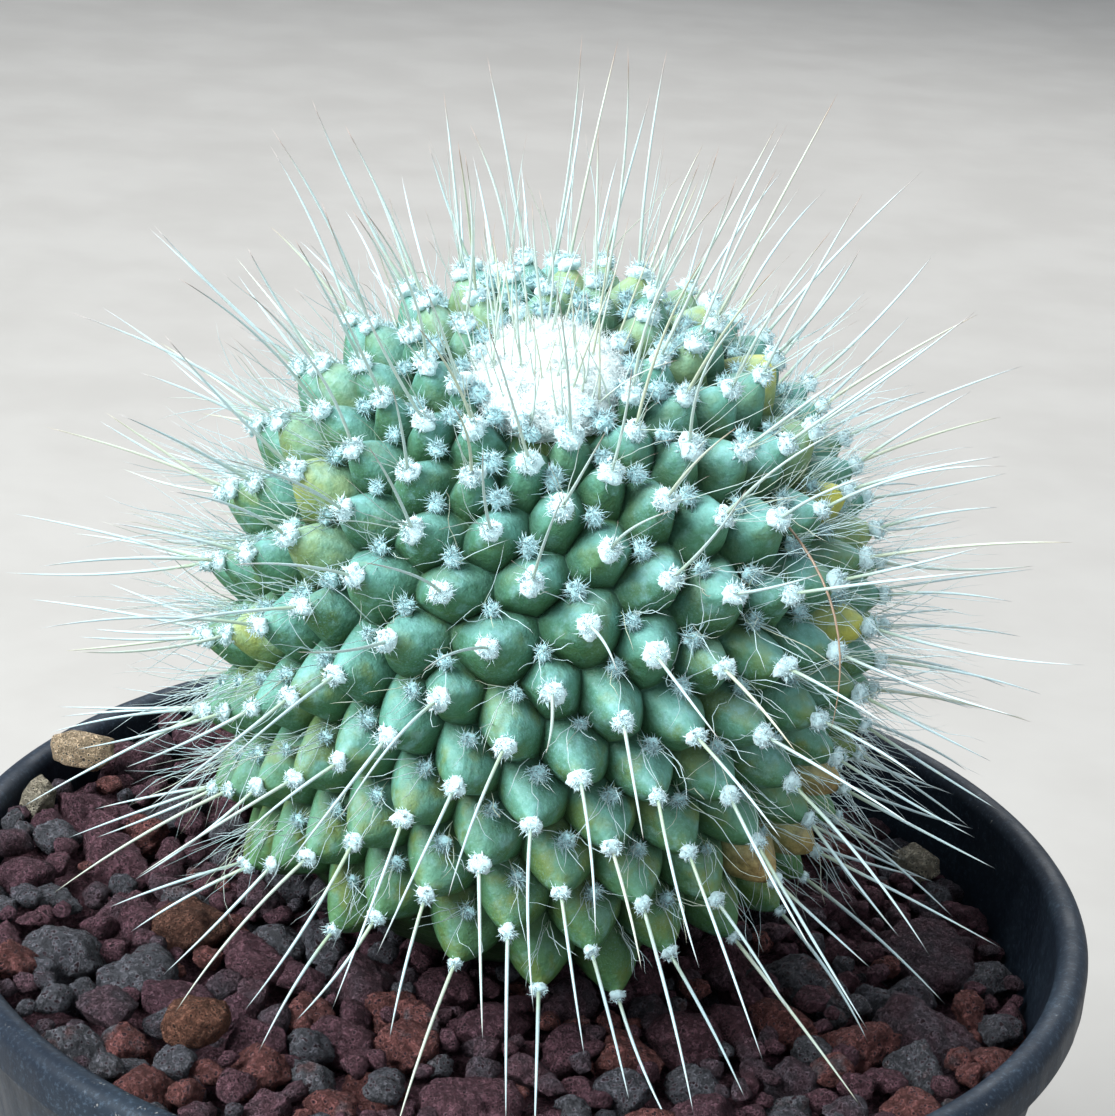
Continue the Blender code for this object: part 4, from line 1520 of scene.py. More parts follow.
@dataclass
class Spines:
    """The central spines along the CAD ones, and the thin bristles of the axils and the crown."""

    form: StemForm
    young_radius: float = 0.00013
    old_radius: float = 0.00018
    radius_spread: Span = (0.7, 1.25)
    steps: int = 12
    sides: int = 8
    taper: tuple[float, ...] = (1.05, 1.04, 1.0, 0.95, 0.90, 0.84, 0.77, 0.69, 0.59, 0.46, 0.29, 0.05)
    sway: float = 0.028
    young_count: int = 4
    young_length: Span = (0.0040, 0.0140)
    young_reach: float = math.radians(42.0)
    young_stray: float = 0.0003
    young_spread: float = 0.22
    young_curl: float = 0.18
    bristle_radius: float = 0.000045
    bristle_spread: Span = (0.75, 1.3)
    bristle_length: Span = (0.0035, 0.0075)
    bristle_taper: tuple[float, ...] = (1.0, 1.0, 0.96, 0.92, 0.86, 0.78, 0.66, 0.46, 0.1)
    bristle_lift: float = 0.0012
    bristle_stray: float = 0.0005
    bristle_turn: float = 0.50
    bristle_curl: float = 0.80
    fewest_bristles: int = 5
    more_bristles: float = 4.0
    fullness: Span = (0.3, 1.0)
    side_bristles: float = 14.0
    side_length: float = 0.0095
    side_turn: float = -0.2
    side_curl: float = -0.55
    bed_gap: float = 0.0012
    dead_spine: tuple[Place, Place, Place] = (
        (0.0214, -0.0170, 0.1275), (0.0276, -0.0255, 0.1230), (0.0255, -0.0262, 0.1122),
    )
    dead_sides: int = 6
    dead_chance: float = 2.0
    seed: int = 41

    def __post_init__(self) -> None:
        """Starts the random source and the bristles' piece."""
        self.rng = np.random.default_rng(self.seed)
        self.draft = MeshDraft("bristles")

    def read(self, mesh: Mesh) -> Rows:
        """Finds the CAD spines: a point with three faces, then its belt, then its root.

        Args:
            mesh: The cactus node's mesh.

        Returns:
            The root, middle and end of each spine.
        """
        points, triangles = welded(mesh)
        around = [[] for _ in points]
        for number, triangle in enumerate(triangles):
            for corner in triangle:
                around[corner].append(number)
        spines = []
        for end, faces in enumerate(around):
            if len(faces) != 3:
                continue
            belt = {int(c) for f in faces for c in triangles[f]} - {end}
            below = {int(c) for b in belt for f in around[b] for c in triangles[f]} - belt - {end}
            spines.append([points[list(below)].mean(axis=0), points[list(belt)].mean(axis=0), points[end]])
        return np.array(spines)

    def ages(self, roots: Rows) -> Rows:
        """Finds the ages of places on the stem.

        Args:
            roots: The places.

        Returns:
            Their ages, from 0 at the crown to 1.
        """
        offsets = unit(roots - np.array(self.form.centre))
        polar = np.arccos(np.clip(offsets @ np.array(self.form.crown), -1.0, 1.0))
        return np.minimum(1.0, polar / OLDEST_POLAR)

    def build(self, mesh: Mesh, tubercles: list[Tubercle]) -> None:
        """Makes the central spines and the bristles.

        Args:
            mesh: The cactus node's mesh.
            tubercles: The tubercles that carry the bristles.
        """
        rng = self.rng
        spines = self.read(mesh)
        root, middle, end = spines[:, 0:1], spines[:, 1:2], spines[:, 2:3]
        control = middle * 2.0 - (root + end) / 2.0
        reach = np.linalg.norm(end - root, axis=2, keepdims=True)
        control += rng.normal(size=control.shape) * reach * self.sway
        ages = self.ages(spines[:, 0])
        thicker = (self.old_radius - self.young_radius) * ages
        thick = self.young_radius + thicker * rng.uniform(*self.radius_spread, len(spines))
        radii = np.array(self.taper)[None] * thick[:, None]
        paths = bent_paths(root, control, end, self.steps)
        draft = MeshDraft("central_spines")
        add_strands(draft, paths, radii, self.sides, age=ages, chance=rng.random(len(spines)))
        finish = SpineFinish().material()
        draft.to_piece(finish, Slot.SKIN, "cactus")
        self.build_bristles(tubercles, finish)

    def build_bristles(self, tubercles: list[Tubercle], finish: Material) -> None:
        """Makes the thin young spines round the crown, the axils' curly bristles and the dead spine.

        Args:
            tubercles: The tubercles that carry them.
            finish: The spines' material.
        """
        for tubercle in tubercles:
            if tubercle.polar < self.young_reach:
                self.add_young(tubercle)
            else:
                self.add_axil(tubercle)
        root, middle, end = (np.array([[place]]) for place in self.dead_spine)
        path = bent_paths(root, middle, end, self.steps)
        radii = np.array([self.taper]) * self.young_radius
        chance = np.full(1, self.dead_chance)
        add_strands(self.draft, path, radii, self.dead_sides, age=np.ones(1), chance=chance)
        self.draft.to_piece(finish, Slot.SKIN, "cactus")

    def add_young(self, tubercle: Tubercle) -> None:
        """Adds the thin young spines on one tubercle's tip.

        Args:
            tubercle: The tubercle.
        """
        rng = self.rng
        normal = np.repeat(np.array([tubercle.normal]), self.young_count, axis=0)
        roots = np.array([tubercle.tip]) + rng.normal(size=normal.shape) * self.young_stray
        lengths = rng.uniform(*self.young_length, self.young_count)
        towards = scattered(rng, normal, self.young_spread)
        self.lay(Sprouts(rng, roots, towards, lengths), self.young_curl, tubercle.age)

    def add_axil(self, tubercle: Tubercle) -> None:
        """Adds the curly bristles above one tubercle, which are more and longer at the stem's sides.

        Args:
            tubercle: The tubercle.
        """
        rng = self.rng
        aside = abs(tubercle.direction.x) ** 2
        more = self.more_bristles * tubercle.age + self.side_bristles * aside
        count = self.fewest_bristles + int(rng.uniform(*self.fullness) * more)
        outward = np.repeat(np.array([tubercle.direction]), count, axis=0)
        roots = np.array([tubercle.axil]) + outward * self.bristle_lift
        roots = roots + rng.normal(size=(count, 3)) * self.bristle_stray
        lengths = rng.uniform(*self.bristle_length, count) + self.side_length * aside * rng.random(count)
        towards = scattered(rng, outward, self.bristle_turn + self.side_turn * aside)
        curl = self.bristle_curl + self.side_curl * aside
        self.lay(Sprouts(rng, roots, towards, lengths), curl, (1.0 + tubercle.age) / 2)

    def lay(self, sprouts: Sprouts, curl: float, age: float) -> None:
        """Lays bristles and leaves out those that would end in the gravel.

        Args:
            sprouts: Where they leave the stem.
            curl: How far they turn over their length.
            age: The age that gives them their colour.
        """
        paths = sprouts.wandering(len(self.bristle_taper), curl)
        lowest = (paths[:, :, 2] + self.form.bed_fall * paths[:, :, 0]).min(axis=1)
        paths = paths[lowest > self.form.bed_level + self.bed_gap]
        if len(paths):
            thick = self.bristle_radius * self.rng.uniform(*self.bristle_spread, (len(paths), 1))
            radii = np.array(self.bristle_taper)[None] * thick
            ages = np.full(len(paths), age)
            add_strands(self.draft, paths, radii, HAIR_SIDES, age=ages, chance=self.rng.random(len(paths)))


@dataclass
class CrownWool:
    """The white wool pad in the crown, with the young bristles that rise from it."""

    form: StemForm
    reach: float = 1.13
    sides: int = 56
    rings: int = 16
    innermost: float = 0.04
    rise: float = 0.0033
    sink: float = 0.0004
    swell_power: float = 2.6
    lump: float = 0.00020
    lump_swing: float = 2.6
    lump_waves: int = 14
    lump_pace: float = 1900.0
    hairs: int = 7600
    hair_reach: float = 1.02
    hair_length: Span = (0.0003, 0.0007)
    hair_radii: Span = (0.000039, 0.000006)
    hair_spread: float = 0.9
    hair_curl: float = 0.6
    hair_sink: float = 0.0001
    hair_lean: float = 0.004
    fringe: float = 1.3
    fringe_from: float = 0.8
    bristles: int = 52
    bristle_places: Span = (0.12, 1.0)
    bristle_sink: float = 0.0005
    bristle_length: Span = (0.0045, 0.0135)
    bristle_radius: Span = (0.00007, 0.00013)
    bristle_taper: tuple[float, ...] = (1.0, 1.0, 0.92, 0.84, 0.7, 0.45, 0.08)
    bristle_upward: Place = (0.0, 0.25, 0.25)
    bristle_spread: float = 0.22
    bristle_fan: float = 30.0
    bristle_curl: float = 0.08
    bristle_sides: int = 5
    # painted shade: the place along a hair that the pad's colour is read at, which darkens it under its
    # hairs
    dome_shade_along: float = 0.5
    light: Colour = (0.92, 1.0, 1.0)
    shade: Colour = (0.80, 0.98, 1.0)
    seed: int = 51

    def __post_init__(self) -> None:
        """Starts the random source and the pad's piece."""
        self.rng = np.random.default_rng(self.seed)
        self.draft = MeshDraft("crown_wool_pad")

    def place(self, share: float, turn: float) -> Place:
        """Finds a place on the pad's smooth surface.

        Args:
            share: The share of its reach.
            turn: The turn about the crown.

        Returns:
            The place.
        """
        form = self.form
        nearest = 1e-4
        direction = form.from_crown(form.crown_ring * self.reach * max(share, nearest), turn)
        swell = math.sqrt(max(0.0, 1.0 - share**self.swell_power))
        return tuple(form.point(direction, form.crown_sink) + form.crown * (self.rise * swell - self.sink))

    def build(self) -> None:
        """Makes the pad with its hairs, and the bristles."""
        self.add_hairs(self.add_pad())
        finish = WoolFinish("crown_wool", light=self.light, shade=self.shade)
        self.draft.to_piece(finish.material(), Slot.WOOL, "crown_wool")
        self.build_bristles()

    def add_pad(self) -> Rows:
        """Adds the pad's lumpy dome.

        Returns:
            The middle of its underside.
        """
        turns = math.tau * np.arange(self.sides) / self.sides
        shares = np.linspace(1.0, self.innermost, self.rings)
        rows = np.array([[self.place(share, turn) for turn in turns] for share in shares])
        lumps = ripples(self.rng, rows, self.lump_waves, self.lump_pace) * self.lump_swing * self.lump
        rows += np.array(self.form.crown) * lumps[..., None]
        points = np.concatenate([rows.reshape(-1, 3), [rows[-1].mean(axis=0)], [rows[0].mean(axis=0)]])
        top = fan((self.rings - 1) * self.sides, self.sides, len(points) - 2)
        under = fan(0, self.sides, len(points) - 1)[:, [1, 0, 2]]
        self.draft.add(points, [belts(self.rings, self.sides), top, under], along=self.dome_shade_along)
        return points[-1]

    def add_hairs(self, base: Rows) -> None:
        """Adds the pad's short hairs, which are longer at its edge.

        Args:
            base: The middle of the pad's underside.
        """
        rng = self.rng
        share = np.sqrt(rng.random(self.hairs)) * self.hair_reach
        turn = rng.uniform(0.0, math.tau, self.hairs)
        roots = np.array([self.place(min(s, 1.0), t) for s, t in zip(share, turn)])
        leaning = self.hair_lean * share[:, None] * unit(roots - base)
        outward = unit(roots - np.array(self.form.centre) + leaning)
        towards = scattered(rng, outward, self.hair_spread)
        edge = np.clip((share - self.fringe_from) / (1.0 - self.fringe_from), 0.0, 1.0)
        lengths = rng.uniform(*self.hair_length, self.hairs) * (1.0 + self.fringe * edge)
        roots = roots - outward * self.hair_sink
        paths = Sprouts(rng, roots, towards, lengths).curly(2, self.hair_curl)
        add_strands(self.draft, paths, np.tile(np.array(self.hair_radii), (self.hairs, 1)), HAIR_SIDES)

    def build_bristles(self) -> None:
        """Makes the thin young spines that rise through the pad."""
        rng, count = self.rng, self.bristles
        crown = np.array(self.form.crown)
        share = np.sqrt(rng.uniform(*self.bristle_places, count))
        turn = rng.uniform(0.0, math.tau, count)
        roots = np.array([self.place(s, t) for s, t in zip(share, turn)]) - crown * self.bristle_sink
        upward = crown + np.array(self.bristle_upward) + self.bristle_spread * rng.normal(size=(count, 3))
        towards = unit(upward + self.bristle_fan * (roots - roots.mean(axis=0)))
        lengths = rng.uniform(*self.bristle_length, count)
        paths = Sprouts(rng, roots, towards, lengths).curly(len(self.bristle_taper), self.bristle_curl)
        radii = np.array(self.bristle_taper)[None] * rng.uniform(*self.bristle_radius, (count, 1))
        draft = MeshDraft("crown_spines")
        add_strands(draft, paths, radii, self.bristle_sides, age=np.zeros(count), chance=rng.random(count))
        draft.to_piece(SpineFinish().material(), Slot.SKIN, "crown_wool")


# Pot and what lies in it

@dataclass
class NurseryPot:
    """The round black pot: its fine turned wall with the rolled rim and the slotted floor."""

    height: float = 0.085
    rim_radius: float = 0.055
    rim_width: float = 0.003
    rim_depth: float = 0.0045
    base_radius: float = 0.039
    wall: float = 0.0012
    floor: float = 0.0015
    sides: int = 256
    wall_steps: int = 8
    inside_steps: int = 6
    neck_step: Span = (0.0004, 0.0003)
    slots: int = 8
    slot_share: float = 3 / 8
    slot_inner: float = 0.0235
    slot_outer: float = 0.0300
    seam_turn: float = math.radians(-19.0)
    seam_width: float = 0.008
    seam_depth: float = 0.0004

    def inner(self, height: float) -> float:
        """Finds the radius of the inside wall.

        Args:
            height: The height.

        Returns:
            The radius.
        """
        share = min(1.0, (height - self.floor) / (self.height - self.rim_depth - self.floor))
        low = self.base_radius - self.wall
        return low + share * (self.rim_radius - self.rim_width - low)

    def profile(self) -> list[Span]:
        """Draws the section from the base's slots up the outside, over the rim and down to the slots again.

        Returns:
            Its points, as distances from the axis and heights.
        """
        neck = self.inner(self.height) + self.wall
        band = self.height - self.rim_depth
        half = self.rim_width / 2
        soft = self.wall / 2
        wide, tall = neck - self.base_radius, band - soft
        out, down = self.neck_step
        steps = [k / self.wall_steps for k in range(1, self.wall_steps)]
        levels = [band * k / self.inside_steps for k in range(self.inside_steps, 0, -1)]
        return [
            (self.slot_inner, 0.0), (self.slot_outer, 0.0), (self.base_radius - 2 * soft, 0.0),
            *self.corner(self.base_radius - soft, soft, soft, range(-75, 1, 25)),
            *((self.base_radius + wide * share, soft + tall * share) for share in steps),
            (neck, band - down), (neck + out, band),
            *self.corner(self.rim_radius - soft, band + soft, soft, range(-90, 1, 30)),
            *self.corner(self.rim_radius - half, self.height - half, half, range(0, 181, 15)),
            *((self.inner(level), level) for level in levels),
            (self.inner(self.floor), self.floor), (self.slot_outer, self.floor),
            (self.slot_inner, self.floor),
        ]

    def corner(self, across: float, up: float, radius: float, degrees: range) -> list[Span]:
        """The points of a round corner.

        Args:
            across: How far from the pot's axis its centre is.
            up: How high its centre is.
            radius: Its radius.
            degrees: The angles of its points.

        Returns:
            The points.
        """
        angles = [math.radians(degree) for degree in degrees]
        return [(across + radius * math.cos(angle), up + radius * math.sin(angle)) for angle in angles]

    def is_slot(self, segment: int) -> bool:
        """Whether a segment of the floor's slotted band is open."""
        period = self.sides // self.slots
        return segment % period < period * self.slot_share

    def points(self, profile: Rows) -> Rows:
        """Turns the section about the pot's axis.

        Args:
            profile: The section's points, as distances from the axis and heights.

        Returns:
            The points level by level, then the middles of the floor's underside and top.
        """
        turns = math.tau * np.arange(self.sides) / self.sides
        radius, height = (np.repeat(profile[:, k:k + 1], self.sides, axis=1) for k in (0, 1))
        on_rim = profile[:, 1] > self.height - self.rim_depth
        on_rim &= profile[:, 0] > self.rim_radius - self.rim_width / 2
        aside = (turns - self.seam_turn + math.pi) % math.tau - math.pi
        radius -= on_rim[:, None] * np.exp(-(aside / self.seam_width) ** 2)[None] * self.seam_depth
        rows = np.stack([radius * np.cos(turns), radius * np.sin(turns), height], axis=-1)
        return np.concatenate([rows.reshape(-1, 3), [(0.0, 0.0, 0.0), (0.0, 0.0, self.floor)]])

    def faces(self, levels: int) -> list[Rows]:
        """Lays the faces, with the slots through the floor.

        Args:
            levels: The number of points in the section.

        Returns:
            The quads and the triangles.
        """
        outer, floor_outer, floor_inner = (k * self.sides for k in (1, levels - 2, levels - 1))
        under_middle = levels * self.sides
        quads, caps = [], []
        for k in range(self.sides):
            n = (k + 1) % self.sides
            caps += [(under_middle, n, k), (floor_inner + k, floor_inner + n, under_middle + 1)]
            for level in range(levels - 1):
                low, high = level * self.sides, (level + 1) * self.sides
                if not (level in (0, levels - 2) and self.is_slot(k)):
                    quads.append((low + k, low + n, high + n, high + k))
            if self.is_slot(k):
                quads.append((k, n, floor_inner + n, floor_inner + k))
                quads.append((outer + k, floor_outer + k, floor_outer + n, outer + n))
            if self.is_slot(k) != self.is_slot(n):
                quads.append((n, outer + n, floor_outer + n, floor_inner + n))
        return [np.array(quads), np.array(caps)]

    def build(self) -> None:
        """Makes the pot."""
        profile = np.array(self.profile())
        draft = MeshDraft("nursery_pot")
        draft.add(self.points(profile), self.faces(len(profile)))
        draft.to_piece(PlasticFinish().material(), Slot.PLASTIC, "pot")


@dataclass
class RockShaper:
    """Shapes angular, pitted stones from spheres."""

    facets: int = 13
    facet_places: Span = (0.72, 1.0)
    crispness: float = 15.0
    flattest: float = 0.05
    longest: float = 1.25
    lumps: float = 0.060
    lump_waves: int = 10
    lump_swing: float = 2.2
    lump_sizes: tuple[Span, ...] = ((2.4, 0.6), (6.0, 0.6), (14.0, 0.9))
    pits: int = 30
    pit_depth: float = 0.12
    pit_depths: Span = (0.6, 1.2)
    pit_spread: float = 0.012
    tilt: Span = (-0.35, 0.35)
    point_area: float = 0.165e-6
    ball_points: tuple[int, ...] = (34, 60, 100, 160, 250, 400, 620)

    def __post_init__(self) -> None:
        """Makes the spheres."""
        self.balls = {count: sphere_mesh(count) for count in self.ball_points}

    def ball(self, radius: float, share: float) -> tuple[Rows, Rows]:
        """Picks the sphere for a stone.

        Args:
            radius: The stone's radius.
            share: The share of the usual number of points that it needs.

        Returns:
            The sphere's points and triangles.
        """
        wanted = 4.0 * math.pi * radius**2 / self.point_area * share
        return self.balls[min(self.balls, key=lambda count: abs(count - wanted))]

    def shape(self, rng: Rng, ball: Rows, half: Rows) -> Rows:
        """Shapes one stone about the origin.

        Args:
            rng: The random source.
            ball: The unit sphere's points.
            half: The stone's half sizes.

        Returns:
            The stone's points.
        """
        planes = unit(rng.normal(size=(self.facets, 3)))
        offsets = rng.uniform(*self.facet_places, self.facets)
        reach = np.maximum(ball @ planes.T / offsets, self.flattest) ** self.crispness
        radius = np.minimum(reach.sum(axis=1) ** (-1.0 / self.crispness), self.longest)
        for pace, strength in self.lump_sizes:
            ripple = ripples(rng, ball, self.lump_waves, pace)
            radius += self.lumps * strength * ripple * self.lump_swing
        centres = unit(rng.normal(size=(self.pits, 3)))
        hollow = np.exp(-(1.0 - ball @ centres.T) / self.pit_spread).max(axis=1)
        radius -= self.pit_depth * rng.uniform(*self.pit_depths) * hollow
        tilt = Matrix.Rotation(rng.uniform(*self.tilt), 3, "X")
        tilt = tilt @ Matrix.Rotation(rng.uniform(*self.tilt), 3, "Y")
        turned = Matrix.Rotation(rng.uniform(0.0, math.tau), 3, "Z") @ tilt
        return (ball * radius[:, None] * half) @ np.array(turned).T


@dataclass
class GravelBed:
    """The lava stones: large and small ones, a darker layer below and the grit under both."""

    pot: NurseryPot
    form: StemForm
    seats: tuple[Stone, ...] = (
        (-0.0457, 0.0174, 0.0040), (-0.0486, 0.0094, 0.0030), (0.0422, 0.0215, 0.0032),
        (-0.0300, -0.0118, 0.0038), (-0.0264, -0.0300, 0.0032),
    )
    seat_share: float = 0.7
    sizes: tuple[tuple[float, int], ...] = (
        (0.0032, 16), (0.0027, 70), (0.0022, 190), (0.0017, 420), (0.0013, 900), (0.0010, 1500),
        (0.0008, 1500),
    )
    size_spread: Span = (0.88, 1.14)
    overlap: float = 0.90
    hole_radius: float = 0.0100
    crevice: float = 0.0030
    clearance: float = 0.0003
    spread_up: Span = (-0.0007, 0.0014)
    placed: tuple[tuple[float, float, float, Lava], ...] = (
        (-0.0403, -0.0165, 0.0033, Lava.GREY), (-0.0333, -0.0193, 0.0028, Lava.GREY),
        (-0.0395, 0.0009, 0.0037, Lava.MAROON), (-0.0375, 0.0072, 0.0024, Lava.RED),
        (-0.0294, -0.0222, 0.0027, Lava.MAROON), (-0.0345, -0.0267, 0.0023, Lava.BROWN),
        (-0.0205, -0.0325, 0.0022, Lava.RED), (-0.0311, -0.0340, 0.0018, Lava.GREY),
        (-0.0377, -0.0226, 0.0017, Lava.GREY), (-0.0427, -0.0081, 0.0020, Lava.GREY),
        (0.0411, 0.0050, 0.0046, Lava.BROWN), (0.0475, 0.0130, 0.0025, Lava.MAROON),
        (0.0394, -0.0095, 0.0046, Lava.BROWN), (0.0482, 0.0030, 0.0026, Lava.GREY),
        (0.0470, -0.0076, 0.0024, Lava.GREY), (0.0455, -0.0145, 0.0024, Lava.RED),
        (-0.0029, -0.0330, 0.0040, Lava.MAROON), (-0.0085, -0.0262, 0.0024, Lava.RED),
        (-0.0009, -0.0206, 0.0026, Lava.MAROON), (0.0054, -0.0208, 0.0023, Lava.MAROON),
        (0.0165, -0.0177, 0.0026, Lava.MAROON), (-0.0236, -0.0151, 0.0024, Lava.MAROON),
        (-0.0174, -0.0218, 0.0026, Lava.RED), (-0.0053, -0.0150, 0.0027, Lava.MAROON),
        (0.0002, -0.0388, 0.0020, Lava.OCHRE), (0.0112, -0.0280, 0.0022, Lava.GREY),
        (-0.0169, -0.0277, 0.0019, Lava.GREY), (-0.0138, -0.0354, 0.0021, Lava.RED),
        (0.0182, -0.0300, 0.0030, Lava.MAROON),
    )
    placed_tint: float = 0.04
    thrown_tint: float = 0.07
    kind_odds: tuple[float, ...] = (0.42, 0.26, 0.20, 0.12, 0.0)
    big: float = 0.0016
    hidden_reach: float = 0.0200
    hidden_share: float = 0.3
    stretch: Span = (0.86, 1.16)
    width: Span = (1.05, 1.2)
    thickness: Span = (0.75, 1.0)
    lift: float = 0.3
    top_sink: float = 0.55
    highest: float = 0.0022
    grit_sides: int = 128
    grit_rings: int = 30
    grit_innermost: float = 0.01
    grit_waves: int = 16
    grit_pace: float = 1400.0
    grit_relief: float = 0.0012
    seed: int = 61

    def __post_init__(self) -> None:
        """Starts the random source."""
        self.rng = np.random.default_rng(self.seed)

    def scatter(self, rng: random.Random, with_placed: bool) -> list[Stone]:
        """Throws the stones, large ones first, until they lie close.

        Args:
            rng: The random source.
            with_placed: Whether the placed stones lie among them.

        Returns:
            The centre and radius of each stone.
        """
        foot = self.form.foot
        stones = [stone[:3] for stone in self.placed] if with_placed else []
        seats = [(x, y, radius * self.seat_share) for x, y, radius in self.seats]
        for radius, tries in self.sizes:
            for _ in range(tries):
                size = radius * rng.uniform(*self.size_spread)
                distance = (self.pot.inner(self.form.bed_level) - size) * math.sqrt(rng.random())
                angle = math.tau * rng.random()
                stone = (distance * math.cos(angle), distance * math.sin(angle), size)
                from_foot = math.hypot(stone[0] - foot.x, stone[1] - foot.y)
                if from_foot >= self.hole_radius + size and self.has_room(stone, seats + stones):
                    stones.append(stone)
        return stones

    def has_room(self, stone: Stone, others: list[Stone]) -> bool:
        """Looks for room for a stone.

        Args:
            stone: Its centre and radius.
            others: The stones that it must not crowd.

        Returns:
            Whether there is room.
        """
        x, y, size = stone
        return all(math.hypot(x - sx, y - sy) > self.overlap * (size + radius) for sx, sy, radius in others)

    def tint(self, x: float, y: float) -> float:
        """Picks a stone's colour.

        Args:
            x: Its place to the right.
            y: Its place to the back.

        Returns:
            The place on the lava's ramp.
        """
        for placed_x, placed_y, _, kind in self.placed:
            if (x, y) == (placed_x, placed_y):
                return kind.value + self.rng.uniform(-self.placed_tint, self.placed_tint)
        kind = list(Lava)[int(self.rng.choice(len(Lava), p=self.kind_odds))]
        return kind.value + self.rng.uniform(-self.thrown_tint, self.thrown_tint)

    def build(self) -> None:
        """Makes the stones, the layer below them and the grit."""
        finish = StoneFinish("lava", LAVA_TINTS).material()
        top = self.scatter(random.Random(self.seed), True)
        below = self.scatter(random.Random(self.seed + 1), False)
        layers = (
            ("lava_stones", [stone for stone in top if stone[2] >= self.big], 0.0),
            ("lava_chips", [stone for stone in top if stone[2] < self.big], 0.0),
            ("lava_under_layer", [stone for stone in below if stone[2] >= self.big], self.crevice),
        )
        shaper = RockShaper()
        for name, stones, sink in layers:
            draft = MeshDraft(name)
            for stone in stones:
                self.add_stone(draft, shaper, stone, sink)
            draft.to_piece(finish, Slot.LAVA, "lava_gravel")
        self.build_grit(finish)

    def add_stone(self, draft: MeshDraft, shaper: RockShaper, stone: Stone, sink: float) -> None:
        """Adds one stone, moved clear of the pot's wall.

        Args:
            draft: The piece that gets it.
            shaper: What shapes it.
            stone: Its centre and radius.
            sink: How far its layer lies under the bed's top.
        """
        rng = self.rng
        x, y, radius = stone
        foot = self.form.foot
        hidden = sink > 0 or math.hypot(x - foot.x, y - foot.y) < self.hidden_reach
        ball, triangles = shaper.ball(radius, self.hidden_share if hidden else 1.0)
        stretch = rng.uniform(*self.stretch)
        wide = radius * rng.uniform(*self.width)
        half = np.array((wide * stretch, wide / stretch, radius * rng.uniform(*self.thickness)))
        rock = shaper.shape(rng, ball, half)
        top = rock[:, 2].max()
        level = self.form.bed_height(x) - sink
        room = self.pot.inner(level) - self.clearance - np.hypot(rock[:, 0] + x, rock[:, 1] + y).max()
        shift = 1.0 + min(0.0, room) / max(1e-6, math.hypot(x, y))
        sunk = top * (1.0 if sink else self.top_sink)
        height = level + rng.uniform(*self.spread_up) + self.lift * radius - sunk
        height = min(height, level + self.highest - top)
        place = np.array((x * shift, y * shift, height))
        draft.add(rock + place, [triangles], tint=self.tint(x, y))

    def build_grit(self, finish: Material) -> None:
        """Makes the mass under the stones, from the pot's floor to the crevices.

        Args:
            finish: The lava's material.
        """
        sides = self.grit_sides
        turns = math.tau * np.arange(sides) / sides
        circle = np.stack([np.cos(turns), np.sin(turns)], axis=-1)
        shares = np.linspace(self.grit_innermost, 1.0, self.grit_rings)
        widest = self.pot.inner(self.form.bed_level - self.crevice) - self.clearance
        flat = (widest * shares)[:, None, None] * circle
        relief = self.grit_relief * ripples(self.rng, flat, self.grit_waves, self.grit_pace)
        top = self.form.bed_height(flat[..., 0]) - self.crevice + relief
        low = self.pot.floor + self.clearance
        foot = (self.pot.inner(low) - self.clearance) * circle
        rows = np.concatenate([np.dstack([flat, top]), np.dstack([foot[None], np.full((1, sides), low)])])
        points = np.concatenate([rows.reshape(-1, 3), [rows[0].mean(axis=0)], [(0.0, 0.0, low)]])
        walls = belts(self.grit_rings + 1, sides)[:, [0, 3, 2, 1]]
        middle = fan(0, sides, len(points) - 2)
        under = fan(self.grit_rings * sides, sides, len(points) - 1)[:, [1, 0, 2]]
        draft = MeshDraft("lava_grit")
        draft.add(points, [walls, middle, under], tint=Lava.MAROON.value)
        draft.to_piece(finish, Slot.LAVA, "lava_gravel")


